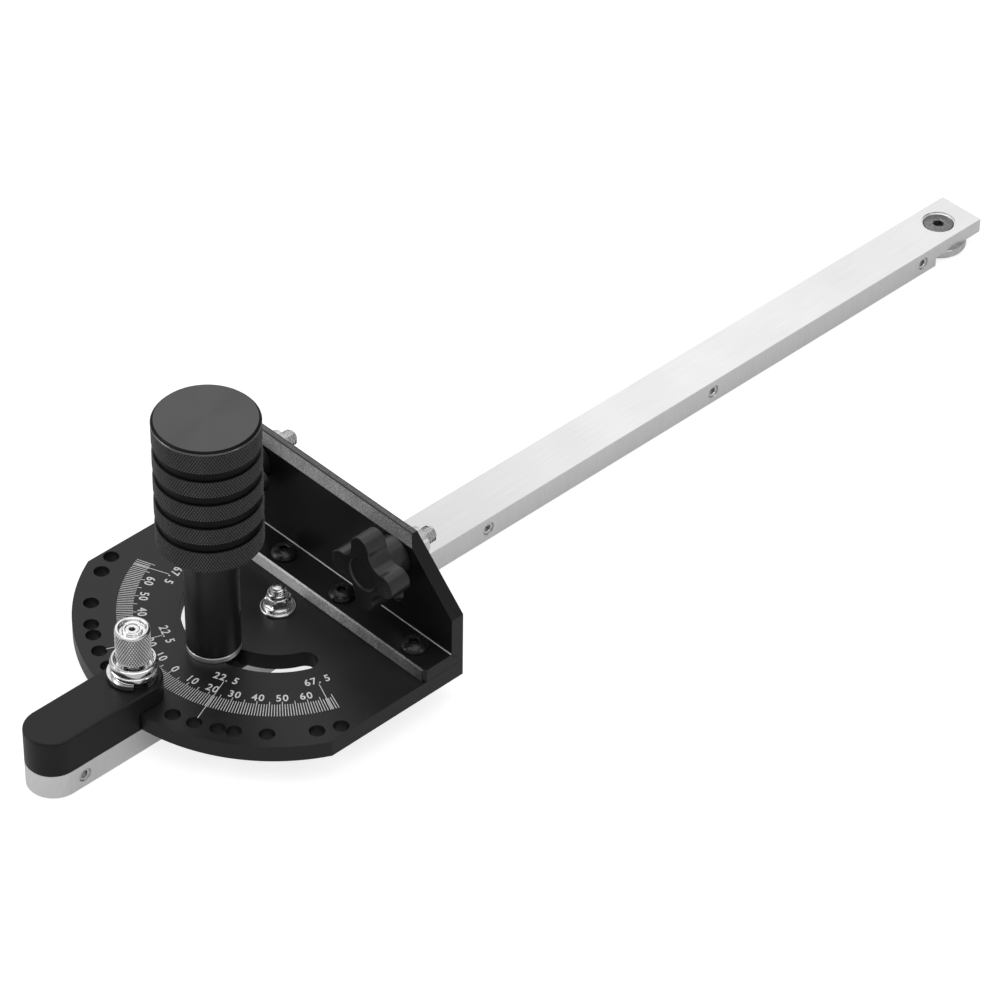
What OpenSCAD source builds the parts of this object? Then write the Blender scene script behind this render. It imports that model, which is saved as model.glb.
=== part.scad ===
// Miter gauge: a guide bar that slides in a saw table's slot, a half-round protractor head
// that swings on it, an index plunger, a locking handle and a fence bracket with clamp knobs.
// Origin: the head's pivot axis at the underside of the bar. +Y runs along the bar, away from
// the user; +X is to the right; +Z is up. Millimetres.

/* [Guide bar] */
// Width of the bar, the width of a standard table slot
bar_w = 19; // [17:0.5:22]
// Height of the bar
bar_h = 9.5; // [8.5:0.5:12]
// Overall length of the bar
bar_len = 450; // [400:10:600]
// How far the rounded near end stands out beyond the protractor's rim
bar_out = 38.5; // [36:0.5:50]
// Depth of the step under the tongue
step_d = 3.75; // [3.4:0.05:4.2]
// Diameter of the set screws in the side of the bar
side_screw_d = 5; // [4:0.5:6]
// Length of the side set screws
side_screw_len = 5.5; // [4:0.5:6]
// Distance from the near end to the first side screw
side_screw_near = 14.8; // [12:0.2:16]
// Distance from the far end to the last side screw
side_screw_far = 31.3; // [30:0.1:40]
// Spacing of the three screws beyond the fence
side_screw_step = 111.2; // [60:0.2:120]

/* [Slot washer] */
// Diameter of the disc that runs in a T-slot
slot_disc_d = 21.8; // [20:0.2:23]
// Thickness of the disc
slot_disc_t = 3.2; // [2.6:0.1:3.4]
// Distance from the far end to the disc's centre
slot_disc_end = 12.9; // [12:0.1:13.4]
// Diameter of the screw that holds the disc
disc_screw_d = 6; // [5:0.5:6]
// Diameter of that screw's countersunk head
disc_head_d = 11.2; // [10:0.2:12]

/* [Protractor plate] */
// Thickness of the plate
plate_t = 6.35; // [5:0.05:8]
// Radius of the scale's outer edge
plate_r = 69; // [67:0.5:72]
// Distance from the pivot to the straight back edge
plate_back = 27.3; // [26:0.1:32]
// Distance of the index holes in from the rim
index_in = 6.3; // [5:0.1:8]
// Diameter of an index hole
index_hole_d = 5.4; // [5.2:0.1:6]
// Distance from the outermost index hole's centre to the plate's straight side
side_in = 3.57; // [3.4:0.01:6]
// Radius of the arc slot that the handle's stud runs in
arc_r = 28.45; // [27:0.05:30]
// Width of the arc slot
arc_w = 8.6; // [8:0.1:10]
// Half the angle between the centres of the slot's two ends
arc_half = 66.5; // [66:0.5:72]
// Thread of the pivot stud
pivot_d = 5; // [4:0.5:6]
// Height of the pivot stud above the plate
pivot_top = 9.45; // [8.5:0.05:12]

/* [Fence bracket] */
// Thickness of the angle section
angle_t = 5.2; // [4:0.1:6.5]
// Depth of the flange on the plate
flange_d = 17.6; // [17:0.1:20]
// Height of the upright above the plate
upright_h = 42.25; // [40:0.25:48]
// Size of the slanted cut at each upper corner
corner_cut = 22.2; // [15:0.2:22.4]
// Width of the bevel along the top edge
bevel_w = 2.6; // [2:0.1:4.5]
// Drop of that bevel
bevel_h = 3; // [1:0.1:3.5]
// Width of the two upright slots
clamp_slot_w = 7; // [7:0.1:8.6]
// Distance of each clamp stud in from the bracket's end
clamp_in = 27; // [25:0.1:29]
// Height of the clamp studs above the plate
clamp_h = 32.15; // [31:0.05:34]
// Lowest slot centre above the plate
clamp_low = 15.65; // [14:0.05:18]
// Distance of the inner pair of screws from the middle
screw_x_in = 14.4; // [13:0.1:17]
// Distance of the outer pair of screws in from the bracket's end
screw_in = 11.5; // [8:0.1:13]
// Diameter of the bracket screws
screw_d = 5; // [4:0.5:5]
// Diameter of their button heads
screw_head_d = 9.4; // [8.5:0.1:10]
// Height of their button heads
screw_head_h = 2.7; // [2:0.1:3]

/* [Fence clamps] */
// Thread of the clamp studs
clamp_d = 6; // [5:0.5:6]
// Diameter over the lobes of a star knob
star_d = 29.6; // [26:0.2:29.6]
// Number of lobes
star_n = 4; // [3:1:6]
// Radius of a lobe's tip
lobe_r = 4.4; // [3:0.1:4.8]
// Radius at the bottom of the hollows
waist_r = 8.4; // [7.8:0.1:10]
// Thickness of the lobed part
lobe_t = 8.2; // [6:0.1:8.6]
// Diameter of the hub behind the lobes
hub_d = 14.8; // [13:0.2:16]
// Length of that hub
hub_len = 7.2; // [6:0.1:7.2]
// How far the stud stands out behind the bracket
clamp_out = 11.2; // [10:0.1:14]

/* [Handle] */
// Diameter of the knurled grip
grip_d = 36; // [32:0.5:36]
// Width of the first and last knurled band
band_end = 8.7; // [7:0.1:10]
// Width of the three middle bands
band_mid = 6.1; // [5:0.1:8]
// Width of the smooth grooves between the bands
groove_w = 3.75; // [2.5:0.05:5]
// Depth of those grooves
groove_d = 1; // [0.5:0.1:1.8]
// Diameter of the post below the grip
post_d = 18.5; // [15:0.1:19]
// Length of the post
post_h = 44.5; // [44.5:0.5:60]
// Diameter of the washer under the post
handle_washer_d = 18.4; // [16:0.1:20]
// Thickness of that washer
handle_washer_t = 2.2; // [1:0.1:3]
// Thread of the stud through the handle
handle_d = 6; // [5:0.5:6]

/* [Pointer block and plunger] */
// Width of the pointer block
block_w = 18.8; // [18:0.1:19]
// Height of the block above the bar
block_h = 14; // [13:0.1:17]
// Thread of the plunger's barrel
barrel_d = 10; // [9:0.5:11]
// Diameter of the spring lock washer
lock_washer_d = 18.2; // [16:0.1:18.6]
// Thickness of the lock washer
lock_washer_t = 2.7; // [1.5:0.1:3]
// Diameter of the plunger's collar
collar_d = 16; // [15.2:0.1:17]
// Height of the collar
collar_h = 5.3; // [5:0.1:7]
// Diameter of the plunger's knob
knob_d = 12; // [10.5:0.1:12]
// Height of the plunger's knob
knob_h = 12.7; // [10:0.1:15]
// Diameter of the index pin
pin_d = 4.8; // [4:0.1:4.8]
// Distance that the pin drops into an index hole
pin_drop = 3; // [2:0.1:3.4]

/* [Fits] */
// Radial clearance of the pivots
run_gap = 0.05; // [0.03:0.01:0.08]
// Radial clearance of the threads
thread_gap = 0.03; // [0.02:0.01:0.05]
// Radial clearance of the sliding pin
slide_gap = 0.15; // [0.1:0.01:0.2]
// Clearance between parts that pass each other
pass_gap = 0.3; // [0.25:0.05:0.4]

/* [Hidden] */
$fn = 72;
eps = 0.01;

index_angles = [-67.5, -60, -45, -35, -30, -22.5, -15, 0, 15, 22.5, 30, 35, 45, 60, 67.5];
index_r = plate_r - index_in;
plate_w = 2 * (index_r * sin(max(index_angles)) + side_in);
bar_near = plate_r + bar_out;
clamp_x = plate_w / 2 - clamp_in;
screw_x_out = plate_w / 2 - screw_in;

plate_z = bar_h;
plate_top = plate_z + plate_t;
bar_far = bar_len - bar_near;
disc_gap = 0.2;
tongue_len = slot_disc_end + slot_disc_d / 2 + disc_gap;
tongue_y = bar_far - tongue_len;
tongue_t = bar_h - step_d;
blind_floor = 1.6;
side_screw_ys = concat([side_screw_near - bar_near], [for (i = [2:-1:0]) bar_far - side_screw_far - i * side_screw_step]);
side_recess = 0.4;

disc_y = bar_far - slot_disc_end;
disc_csk_h = (disc_head_d - disc_screw_d) / 2;
disc_sink = 0.5;
disc_head_clear = 0.7;

back_y = plate_back;
upright_y = back_y - angle_t;
flange_y = back_y - flange_d;
flange_top = plate_top + angle_t;
upright_top = plate_top + upright_h;
screw_y = (flange_y + upright_y) / 2;
clamp_z = plate_top + clamp_h;
inner_fillet = 0.5;

hub_back = upright_y;
lobe_back = hub_back - hub_len;
lobe_front = lobe_back - lobe_t;
star_turn = 5;
star_recess_r = 6.1;
star_recess_d = 0.8;
lobe_c = star_d / 2 - lobe_r;
nut_af = 10;
nut_t = 5.7;
nut_collar_r = 4.2;
nut_collar_t = 2.3;

pivot_washer_d = 12.2;
pivot_washer_t = 1;
pivot_flange_d = 10;
pivot_flange_t = 1;
pivot_af = 8;
pivot_hex_t = 3.6;
pivot_collar_d = 7;
pivot_collar_t = 1.5;

post_z = plate_top + handle_washer_t;
grip_z = post_z + post_h;
grip_h = 2 * band_end + 3 * band_mid + 4 * groove_w;
grip_top = grip_z + grip_h;
grip_chamfer = 0.9;
handle_stud_top = grip_z + grip_h * 0.43;

block_top = bar_h + block_h;
block_end_y = block_w / 2 - bar_near;
block_chamfer = 0.5;
block_under = plate_top + pass_gap;
block_screw_d = 4;
block_screw_gap = 14.5;
block_screw_ys = [block_end_y, block_end_y + block_screw_gap];
block_screw_top = bar_h + 8;
block_screw_sink = 0.3;

washer_top = block_top + lock_washer_t;
collar_top = washer_top + collar_h;
knob_rest_gap = 0.2;
knob_z = collar_top + knob_rest_gap;
knob_top = knob_z + knob_h;
dish_floor = knob_z - pin_drop - pass_gap;
dish_r = knob_d / 2 + pass_gap;
pin_rest = plate_top + 0.4;
barrel_low = block_under + pass_gap;

module hex_prism(af, h) {
  cylinder(h = h, r = af / 2 / cos(30), $fn = 6);
}

module ring(ro, ri, h) {
  difference() {
    cylinder(h = h, r = ro);
    translate([0, 0, -1]) cylinder(h = h + 2, r = ri);
  }
}

// A bar with a flat top edge chamfer and round ends, lying along Y between two centres.
module stadium(r, y0, y1, z0, z1, c) {
  for (y = [y0, y1]) {
    translate([0, y, z0]) cylinder(h = z1 - z0 - c, r = r);
    translate([0, y, z1 - c]) cylinder(h = c, r1 = r, r2 = r - c);
  }
  translate([0, y1, 0])
    rotate([90, 0, 0])
      linear_extrude(height = y1 - y0)
        polygon([[-r, z0], [r, z0], [r, z1 - c], [r - c, z1], [c - r, z1], [-r, z1 - c]]);
}

module on_index(a) {
  rotate([0, 0, a]) translate([0, -index_r, 0]) children();
}

module miter_bar() {
  r = bar_w / 2;
  color("silver")
    difference() {
      union() {
        translate([0, r - bar_near, 0]) cylinder(h = bar_h, r = r, $fn = 96);
        translate([-r, r - bar_near, 0]) cube([bar_w, bar_len - r, bar_h]);
      }
      translate([-r - 1, tongue_y, -1]) cube([bar_w + 2, tongue_len + 1, step_d + 1]);
      // hole, countersink and counterbore for the disc screw
      translate([0, disc_y, -1]) cylinder(h = bar_h + 2, r = disc_screw_d / 2 + pass_gap);
      translate([0, disc_y, bar_h - disc_sink - disc_csk_h])
        cylinder(h = disc_csk_h, r1 = disc_screw_d / 2 + pass_gap, r2 = disc_head_d / 2 + pass_gap);
      translate([0, disc_y, bar_h - disc_sink])
        cylinder(h = disc_sink + 1, r = disc_head_d / 2 + disc_head_clear);
      // blind threads for the pivot stud and the handle's stud
      translate([0, 0, blind_floor]) cylinder(h = bar_h, r = pivot_d / 2 + thread_gap);
      translate([0, -arc_r, blind_floor]) cylinder(h = bar_h, r = handle_d / 2 + run_gap);
      // side set screws
      for (y = side_screw_ys)
        translate([r - side_recess - side_screw_len, y, bar_h / 2])
          rotate([0, 90, 0]) cylinder(h = side_screw_len + side_recess + 1, r = side_screw_d / 2 + thread_gap);
      // countersunk holes for the pointer block's screws
      for (y = block_screw_ys) {
        translate([0, y, -1]) cylinder(h = bar_h + 2, r = block_screw_d / 2 + slide_gap);
        translate([0, y, block_screw_sink])
          cylinder(h = block_screw_d / 2, r1 = block_screw_d + slide_gap, r2 = block_screw_d / 2 + slide_gap);
        translate([0, y, -1]) cylinder(h = block_screw_sink + 1, r = block_screw_d + slide_gap);
      }
    }
}

module slot_washer() {
  color("lightgray")
    translate([0, disc_y, step_d - slot_disc_t])
      ring(slot_disc_d / 2, disc_screw_d / 2 + thread_gap, slot_disc_t);
}

module slot_washer_screw() {
  top = bar_h - disc_sink;
  color("dimgray")
    translate([0, disc_y, 0])
      difference() {
        union() {
          translate([0, 0, step_d - slot_disc_t + 0.3]) cylinder(h = top - step_d + slot_disc_t - 0.3, r = disc_screw_d / 2);
          translate([0, 0, top - disc_csk_h]) cylinder(h = disc_csk_h, r1 = disc_screw_d / 2, r2 = disc_head_d / 2);
        }
        translate([0, 0, top - 2.6]) hex_prism(3.6, 3);
      }
}

module bar_set_screws() {
  color("gainsboro")
    for (y = side_screw_ys)
      translate([bar_w / 2 - side_recess - side_screw_len, y, bar_h / 2])
        rotate([0, 90, 0])
          difference() {
            cylinder(h = side_screw_len, r = side_screw_d / 2, $fn = 48);
            translate([0, 0, side_screw_len - 2.5]) hex_prism(side_screw_d / 2, 3);
          }
}

module pointer_block() {
  color([0.09, 0.09, 0.1])
    difference() {
      stadium(block_w / 2, block_end_y, -index_r, bar_h, block_top, block_chamfer);
      // the nose stands clear over the plate and its rim
      translate([0, 0, bar_h - 1]) cylinder(h = block_under - bar_h + 1, r = plate_r + 0.4, $fn = 180);
      translate([0, -index_r, 0]) cylinder(h = block_top + 1, r = barrel_d / 2 + thread_gap);
      for (y = block_screw_ys)
        translate([0, y, bar_h - 1]) cylinder(h = block_screw_top - bar_h + 1, r = block_screw_d / 2 + thread_gap);
    }
}

module pointer_block_screws() {
  color("dimgray")
    for (y = block_screw_ys)
      translate([0, y, 0])
        difference() {
          union() {
            translate([0, 0, block_screw_sink])
              cylinder(h = block_screw_d / 2, r1 = block_screw_d, r2 = block_screw_d / 2, $fn = 48);
            translate([0, 0, 1]) cylinder(h = block_screw_top - 1, r = block_screw_d / 2, $fn = 48);
          }
          translate([0, 0, -1]) hex_prism(2.5, 2.8);
        }
}

module plunger_housing() {
  color("silver")
    translate([0, -index_r, 0])
      difference() {
        rotate_extrude($fn = 96)
          polygon([
            [pin_d / 2 + slide_gap, barrel_low],
            [barrel_d / 2 - 0.6, barrel_low],
            [barrel_d / 2, barrel_low + 0.6],
            [barrel_d / 2, washer_top],
            [collar_d / 2, washer_top],
            [collar_d / 2, washer_top + collar_h * 0.28],
            [collar_d / 2 - 0.45, washer_top + collar_h * 0.32],
            [collar_d / 2, washer_top + collar_h * 0.36],
            [collar_d / 2, washer_top + collar_h * 0.62],
            [collar_d / 2 - 0.45, washer_top + collar_h * 0.66],
            [collar_d / 2, washer_top + collar_h * 0.7],
            [collar_d / 2, collar_top - 0.4],
            [collar_d / 2 - 0.4, collar_top],
            [dish_r + 0.6, collar_top],
            [dish_r, collar_top - 0.6],
            [dish_r, dish_floor],
            [pin_d / 2 + slide_gap, dish_floor]
          ]);
      }
}

module plunger_lock_washer() {
  color("silver")
    translate([0, -index_r, block_top])
      difference() {
        ring(lock_washer_d / 2, barrel_d / 2 + 0.2, lock_washer_t);
        // the slanted split, turned towards the front right
        rotate([0, 0, -38]) translate([barrel_d / 2 - 1, -0.7, -1]) cube([barrel_d, 1.4, lock_washer_t + 2]);
      }
}

module plunger_knob() {
  r = knob_d / 2;
  pr = pin_d / 2 + thread_gap;
  color("gainsboro")
    translate([0, -index_r, 0])
      rotate_extrude($fn = 96)
        polygon([
          [pr, knob_z],
          [r - 0.5, knob_z],
          [r, knob_z + 0.5],
          [r, knob_top - 1],
          [r - 1, knob_top],
          [r - 2, knob_top],
          [r - 2.3, knob_top - 1.4],
          [pr, knob_top - 1.4]
        ]);
}

module plunger_pin() {
  r = pin_d / 2;
  color("lightgray")
    translate([0, -index_r, 0]) {
      translate([0, 0, pin_rest]) cylinder(h = 0.8, r1 = r - 0.8, r2 = r);
      translate([0, 0, pin_rest + 0.8]) cylinder(h = knob_top - 0.4 - pin_rest - 0.8, r = r);
    }
}

module pivot_stud() {
  top = plate_top + pivot_top;
  r = pivot_d / 2;
  color("silver") {
    translate([0, 0, blind_floor]) cylinder(h = top - 0.8 - blind_floor, r = r);
    translate([0, 0, top - 0.8]) cylinder(h = 0.8, r1 = r, r2 = r - 0.75);
  }
}

module pivot_washer() {
  color("gainsboro")
    translate([0, 0, plate_top]) ring(pivot_washer_d / 2, pivot_d / 2 + 0.15, pivot_washer_t);
}

module pivot_nut() {
  z0 = plate_top + pivot_washer_t;
  z1 = z0 + pivot_flange_t;
  z2 = z1 + pivot_hex_t;
  hex_r = pivot_af / 2 / cos(30);
  color("gainsboro")
    difference() {
      union() {
        translate([0, 0, z0]) cylinder(h = pivot_flange_t, r = pivot_flange_d / 2);
        translate([0, 0, z1])
          intersection() {
            hex_prism(pivot_af, pivot_hex_t);
            cylinder(h = pivot_hex_t, r1 = hex_r + pivot_hex_t * 1.6, r2 = pivot_af / 2 + 0.05);
          }
        translate([0, 0, z2]) cylinder(h = pivot_collar_t - 0.5, r = pivot_collar_d / 2);
        translate([0, 0, z2 + pivot_collar_t - 0.5]) cylinder(h = 0.5, r1 = pivot_collar_d / 2, r2 = pivot_collar_d / 2 - 0.5);
      }
      translate([0, 0, z0 - 1]) cylinder(h = z2 + pivot_collar_t - z0 + 2, r = pivot_d / 2 + thread_gap);
    }
}

module protractor_plate() {
  color([0.11, 0.11, 0.12])
    difference() {
      intersection() {
        translate([0, 0, plate_z]) cylinder(h = plate_t, r = plate_r, $fn = 180);
        translate([-plate_w / 2, -plate_r - 1, plate_z]) cube([plate_w, plate_r + 1 + plate_back, plate_t]);
      }
      translate([0, 0, plate_z - 1]) cylinder(h = plate_t + 2, r = pivot_d / 2 + run_gap);
      for (a = index_angles)
        on_index(a) translate([0, 0, plate_z - 1]) cylinder(h = plate_t + 2, r = index_hole_d / 2, $fn = 48);
      // arc slot for the handle's stud
      translate([0, 0, plate_z - 1]) {
        rotate([0, 0, -90 - arc_half])
          rotate_extrude(angle = 2 * arc_half, $fn = 144)
            translate([arc_r - arc_w / 2, 0]) square([arc_w, plate_t + 2]);
        for (s = [-1, 1])
          rotate([0, 0, s * arc_half]) translate([0, -arc_r, 0]) cylinder(h = plate_t + 2, r = arc_w / 2);
      }
      for (x = [-screw_x_out, -screw_x_in, screw_x_in, screw_x_out])
        translate([x, screw_y, plate_z - 1]) cylinder(h = plate_t + 2, r = screw_d / 2 + thread_gap, $fn = 48);
    }
}

module fence_bracket() {
  w = plate_w;
  color([0.08, 0.08, 0.09])
    difference() {
      union() {
        rotate([90, 0, 90])
          translate([0, 0, -w / 2])
            linear_extrude(height = w)
              polygon([
                [flange_y, plate_top],
                [back_y, plate_top],
                [back_y, upright_top],
                [upright_y + bevel_w, upright_top],
                [upright_y, upright_top - bevel_h],
                [upright_y, flange_top],
                [flange_y + 0.6, flange_top],
                [flange_y, flange_top - 0.6]
              ]);
        // fillet in the inside corner
        difference() {
          translate([-w / 2, upright_y - inner_fillet, flange_top - eps]) cube([w, inner_fillet + eps, inner_fillet + eps]);
          translate([-w / 2 - 1, upright_y - inner_fillet, flange_top + inner_fillet])
            rotate([0, 90, 0]) cylinder(h = w + 2, r = inner_fillet);
        }
      }
      // slanted upper corners and trimmed flange corners
      for (s = [-1, 1]) {
        translate([s * w / 2, upright_y - 10, upright_top - corner_cut])
          rotate([0, s * 45, 0])
            translate([s > 0 ? -corner_cut * 2 : -corner_cut, 0, 0])
              mirror([0, 0, 0]) cube([corner_cut * 3, angle_t + 20, corner_cut * 2]);
        translate([s * w / 2, flange_y, plate_top - 1])
          rotate([0, 0, 45]) translate([-0.9, -0.9, 0]) cube([1.8, 1.8, angle_t + 2]);
      }
      // upright slots
      for (s = [-1, 1])
        translate([s * clamp_x, upright_y - 1, 0]) {
          for (z = [plate_top + clamp_low, clamp_z + 0.4])
            translate([0, 0, z]) rotate([-90, 0, 0]) cylinder(h = angle_t + 2, r = clamp_slot_w / 2);
          translate([-clamp_slot_w / 2, 0, plate_top + clamp_low]) cube([clamp_slot_w, angle_t + 2, clamp_h + 0.4 - clamp_low]);
        }
      for (x = [-screw_x_out, -screw_x_in, screw_x_in, screw_x_out])
        translate([x, screw_y, plate_top - 1]) cylinder(h = angle_t + 2, r = screw_d / 2 + 0.25, $fn = 48);
    }
}

module button_screw() {
  r = screw_head_d / 2;
  difference() {
    union() {
      translate([0, 0, plate_z + 0.5]) cylinder(h = flange_top - plate_z, r = screw_d / 2, $fn = 48);
      translate([0, 0, flange_top])
        rotate_extrude($fn = 60)
          polygon(concat([[0, 0], [r, 0], [r, 0.4]],
            [for (i = [1:6]) [r * cos(i * 11), 0.4 + (screw_head_h - 0.4) * sin(i * 11) / sin(66)]],
            [[0, screw_head_h]]));
    }
    translate([0, 0, flange_top + screw_head_h - 1.8]) hex_prism(3, 3);
  }
}

module bracket_screws() {
  color([0.15, 0.15, 0.16])
    for (x = [-screw_x_out, -screw_x_in, screw_x_in, screw_x_out])
      translate([x, screw_y, 0]) button_screw();
}

module handle_grip() {
  r = grip_d / 2;
  g = r - groove_d;
  z1 = grip_z + band_end;
  p = groove_w + band_mid;
  color([0.1, 0.1, 0.11])
    translate([0, -arc_r, 0])
      difference() {
        rotate_extrude($fn = 96)
          polygon(concat(
            [[0, grip_z], [r - 1, grip_z], [r, grip_z + 1]],
            [for (i = [0:3]) each [[r, z1 + i * p], [g, z1 + i * p + 0.3], [g, z1 + i * p + groove_w - 0.3], [r, z1 + i * p + groove_w]]],
            [[r, grip_top - grip_chamfer], [r - grip_chamfer, grip_top], [0, grip_top]]));
        translate([0, 0, grip_z - 1]) cylinder(h = handle_stud_top - grip_z + 1, r = handle_d / 2 + thread_gap);
      }
}

module handle_post() {
  color([0.1, 0.1, 0.11])
    translate([0, -arc_r, post_z]) ring(post_d / 2, handle_d / 2 + thread_gap, post_h);
}

module handle_washer() {
  color("gainsboro")
    translate([0, -arc_r, plate_top]) ring(handle_washer_d / 2, handle_d / 2 + 0.2, handle_washer_t);
}

module handle_stud() {
  color("silver")
    translate([0, -arc_r, blind_floor]) cylinder(h = handle_stud_top - blind_floor, r = handle_d / 2);
}

module fence_nut(s) {
  color("gainsboro")
    translate([s * clamp_x, back_y, clamp_z])
      rotate([-90, 0, 0])
        difference() {
          union() {
            rotate([0, 0, 30]) hex_prism(nut_af, nut_t);
            cylinder(h = nut_t + nut_collar_t, r = nut_collar_r);
          }
          translate([0, 0, -1]) cylinder(h = nut_t + nut_collar_t + 2, r = clamp_d / 2 + run_gap);
        }
}

// Outline of a star knob: lobe tips and hollows are arcs that meet smoothly.
module star_outline() {
  a = 180 / star_n;
  hollow = (lobe_c * lobe_c + waist_r * waist_r - lobe_r * lobe_r - 2 * lobe_c * waist_r * cos(a))
    / (2 * lobe_r + 2 * lobe_c * cos(a) - 2 * waist_r);
  hollow_c = waist_r + hollow;
  difference() {
    union() {
      polygon([for (i = [0:2 * star_n - 1]) let (d = i % 2 == 0 ? lobe_c : hollow_c) [d * cos(i * a), d * sin(i * a)]]);
      for (i = [0:star_n - 1]) rotate([0, 0, i * 2 * a]) translate([lobe_c, 0]) circle(r = lobe_r);
    }
    for (i = [0:star_n - 1]) rotate([0, 0, (2 * i + 1) * a]) translate([hollow_c, 0]) circle(r = hollow);
  }
}

module star_knob(s) {
  color([0.1, 0.1, 0.11])
    translate([s * clamp_x, hub_back, clamp_z])
      rotate([90, 0, 0])
        difference() {
          union() {
            cylinder(h = hub_len, r = hub_d / 2);
            translate([0, 0, hub_len]) rotate([0, 0, star_turn]) linear_extrude(height = lobe_t) star_outline();
          }
          translate([0, 0, hub_len + lobe_t - star_recess_d]) cylinder(h = star_recess_d + 1, r = star_recess_r);
          translate([0, 0, -1]) cylinder(h = hub_len + lobe_t - star_recess_d - 1, r = clamp_d / 2 + thread_gap);
        }
}

module fence_stud(s) {
  r = clamp_d / 2;
  y0 = lobe_front + star_recess_d + 2;
  y1 = back_y + clamp_out;
  color("silver")
    translate([s * clamp_x, y0, clamp_z])
      rotate([-90, 0, 0]) {
        cylinder(h = y1 - y0 - 0.8, r = r);
        translate([0, 0, y1 - y0 - 0.8]) cylinder(h = 0.8, r1 = r, r2 = r - 0.7);
      }
}

miter_bar();
slot_washer();
slot_washer_screw();
bar_set_screws();
pointer_block();
pointer_block_screws();
plunger_housing();
plunger_lock_washer();
plunger_knob();
plunger_pin();
pivot_stud();
pivot_washer();
pivot_nut();
protractor_plate();
fence_bracket();
bracket_screws();
handle_grip();
handle_post();
handle_washer();
handle_stud();
fence_nut(-1);  // fence_nut_left
fence_nut(1);  // fence_nut_right
star_knob(-1);  // star_knob_left
star_knob(1);  // star_knob_right
fence_stud(-1);  // fence_stud_left
fence_stud(1);  // fence_stud_right
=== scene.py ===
# %% [markdown]
# # A miter gauge, dressed for its portrait
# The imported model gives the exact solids: a bright bar, a black half-round protractor that swings
# on it, an index plunger, a knurled handle and a bracket with two star knobs. This lesson keeps
# every solid where it is, gives each one its real finish, and adds what a solid leaves out: the
# graduated scale, knurling, threads, broken edges and the turned rings on the metal.

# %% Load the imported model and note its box
import math

import bmesh
import bpy
from mathutils import Matrix, Vector


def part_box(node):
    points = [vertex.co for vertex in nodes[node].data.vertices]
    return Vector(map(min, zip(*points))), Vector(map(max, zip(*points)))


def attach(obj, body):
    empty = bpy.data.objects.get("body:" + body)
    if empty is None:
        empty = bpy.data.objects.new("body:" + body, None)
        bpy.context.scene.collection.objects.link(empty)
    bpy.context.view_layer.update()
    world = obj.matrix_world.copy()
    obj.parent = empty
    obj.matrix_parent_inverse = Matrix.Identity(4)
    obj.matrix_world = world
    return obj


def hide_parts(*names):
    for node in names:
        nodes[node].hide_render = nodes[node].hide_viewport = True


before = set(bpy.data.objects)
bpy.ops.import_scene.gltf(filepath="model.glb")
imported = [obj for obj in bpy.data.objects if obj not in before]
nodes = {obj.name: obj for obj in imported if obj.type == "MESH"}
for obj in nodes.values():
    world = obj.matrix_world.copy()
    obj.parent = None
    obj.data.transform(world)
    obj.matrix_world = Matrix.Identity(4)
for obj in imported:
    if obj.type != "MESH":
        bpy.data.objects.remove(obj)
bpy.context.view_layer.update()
MM = 0.001

# %% [markdown]
# ## Measures
# Every length below is in millimetres and comes from the solids themselves, so a piece that is
# added sits on the face that carries it. `span` reads one node's box, `middle` its centre and
# `half_width` half its size across the bar.


# %% Read the sizes from the solids
def span(node):
    low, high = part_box(node)
    return [v / MM for v in low], [v / MM for v in high]


def middle(node):
    return [(low + high) / 2 for low, high in zip(*span(node))]


def half_width(node):
    low, high = span(node)
    return (high[0] - low[0]) / 2


PLATE_TOP = span("protractor_plate")[1][2]
GRIP_R, GRIP_AXIS = half_width("handle_grip"), (0, middle("handle_grip")[1])
PLUNGER_R, PLUNGER_AXIS = half_width("plunger_knob"), (0, middle("plunger_knob")[1])
print("plate top %.2f, grip y %.2f, plunger y %.2f" % (PLATE_TOP, GRIP_AXIS[1], PLUNGER_AXIS[1]))

# %% [markdown]
# ## The camera
# The photograph looks down at about forty degrees from the front right, through a long lens. The
# numbers below are the camera's turn, tilt and roll, its lens as a length in pixels, its distance
# and two small sideways moves in millimetres.


# %% Place the camera
def link_new(name, data):
    """Adds an object with this data to the scene."""
    thing = bpy.data.objects.new(name, data)
    bpy.context.scene.collection.objects.link(thing)
    return thing


AZIMUTH, TILT, ROLL = math.radians(45.67), math.radians(39.98), math.radians(0.864)
FOCAL_PX, DISTANCE, SIDE, RISE = 4843.0, 1634.5, -74.69, -48.05
PICTURE_PX, SENSOR_MM = 1000, 36
level = math.cos(TILT)
back = Vector((math.sin(AZIMUTH) * level, -math.cos(AZIMUTH) * level, math.sin(TILT)))
right = Vector((math.cos(AZIMUTH), math.sin(AZIMUTH), 0))
up = back.cross(right)
right, up = (
    right * math.cos(ROLL) + up * math.sin(ROLL),
    up * math.cos(ROLL) - right * math.sin(ROLL),
)
camera_data = bpy.data.cameras.new("camera")
camera_data.sensor_width = SENSOR_MM
camera_data.sensor_fit = "HORIZONTAL"
camera_data.lens = FOCAL_PX / PICTURE_PX * SENSOR_MM
camera_data.clip_start = 0.1
camera_data.clip_end = 20
camera = link_new("camera", camera_data)
stand = Matrix((right, up, back)).transposed().to_4x4()
stand.translation = (back * DISTANCE - right * SIDE - up * RISE) * MM
camera.matrix_world = stand
bpy.context.scene.camera = camera
print("camera at", [round(v, 3) for v in stand.translation], "lens %.1f mm" % camera_data.lens)

# %% [markdown]
# ## Sums in a node tree
# Materials and Geometry Nodes both do their arithmetic in Math nodes. `add_node` adds a node and
# feeds its inputs, and `Sum` wraps a number on its way through the tree, so that `a * b + 1` adds
# the same nodes that a hand would drag in and still reads like the formula.


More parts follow.
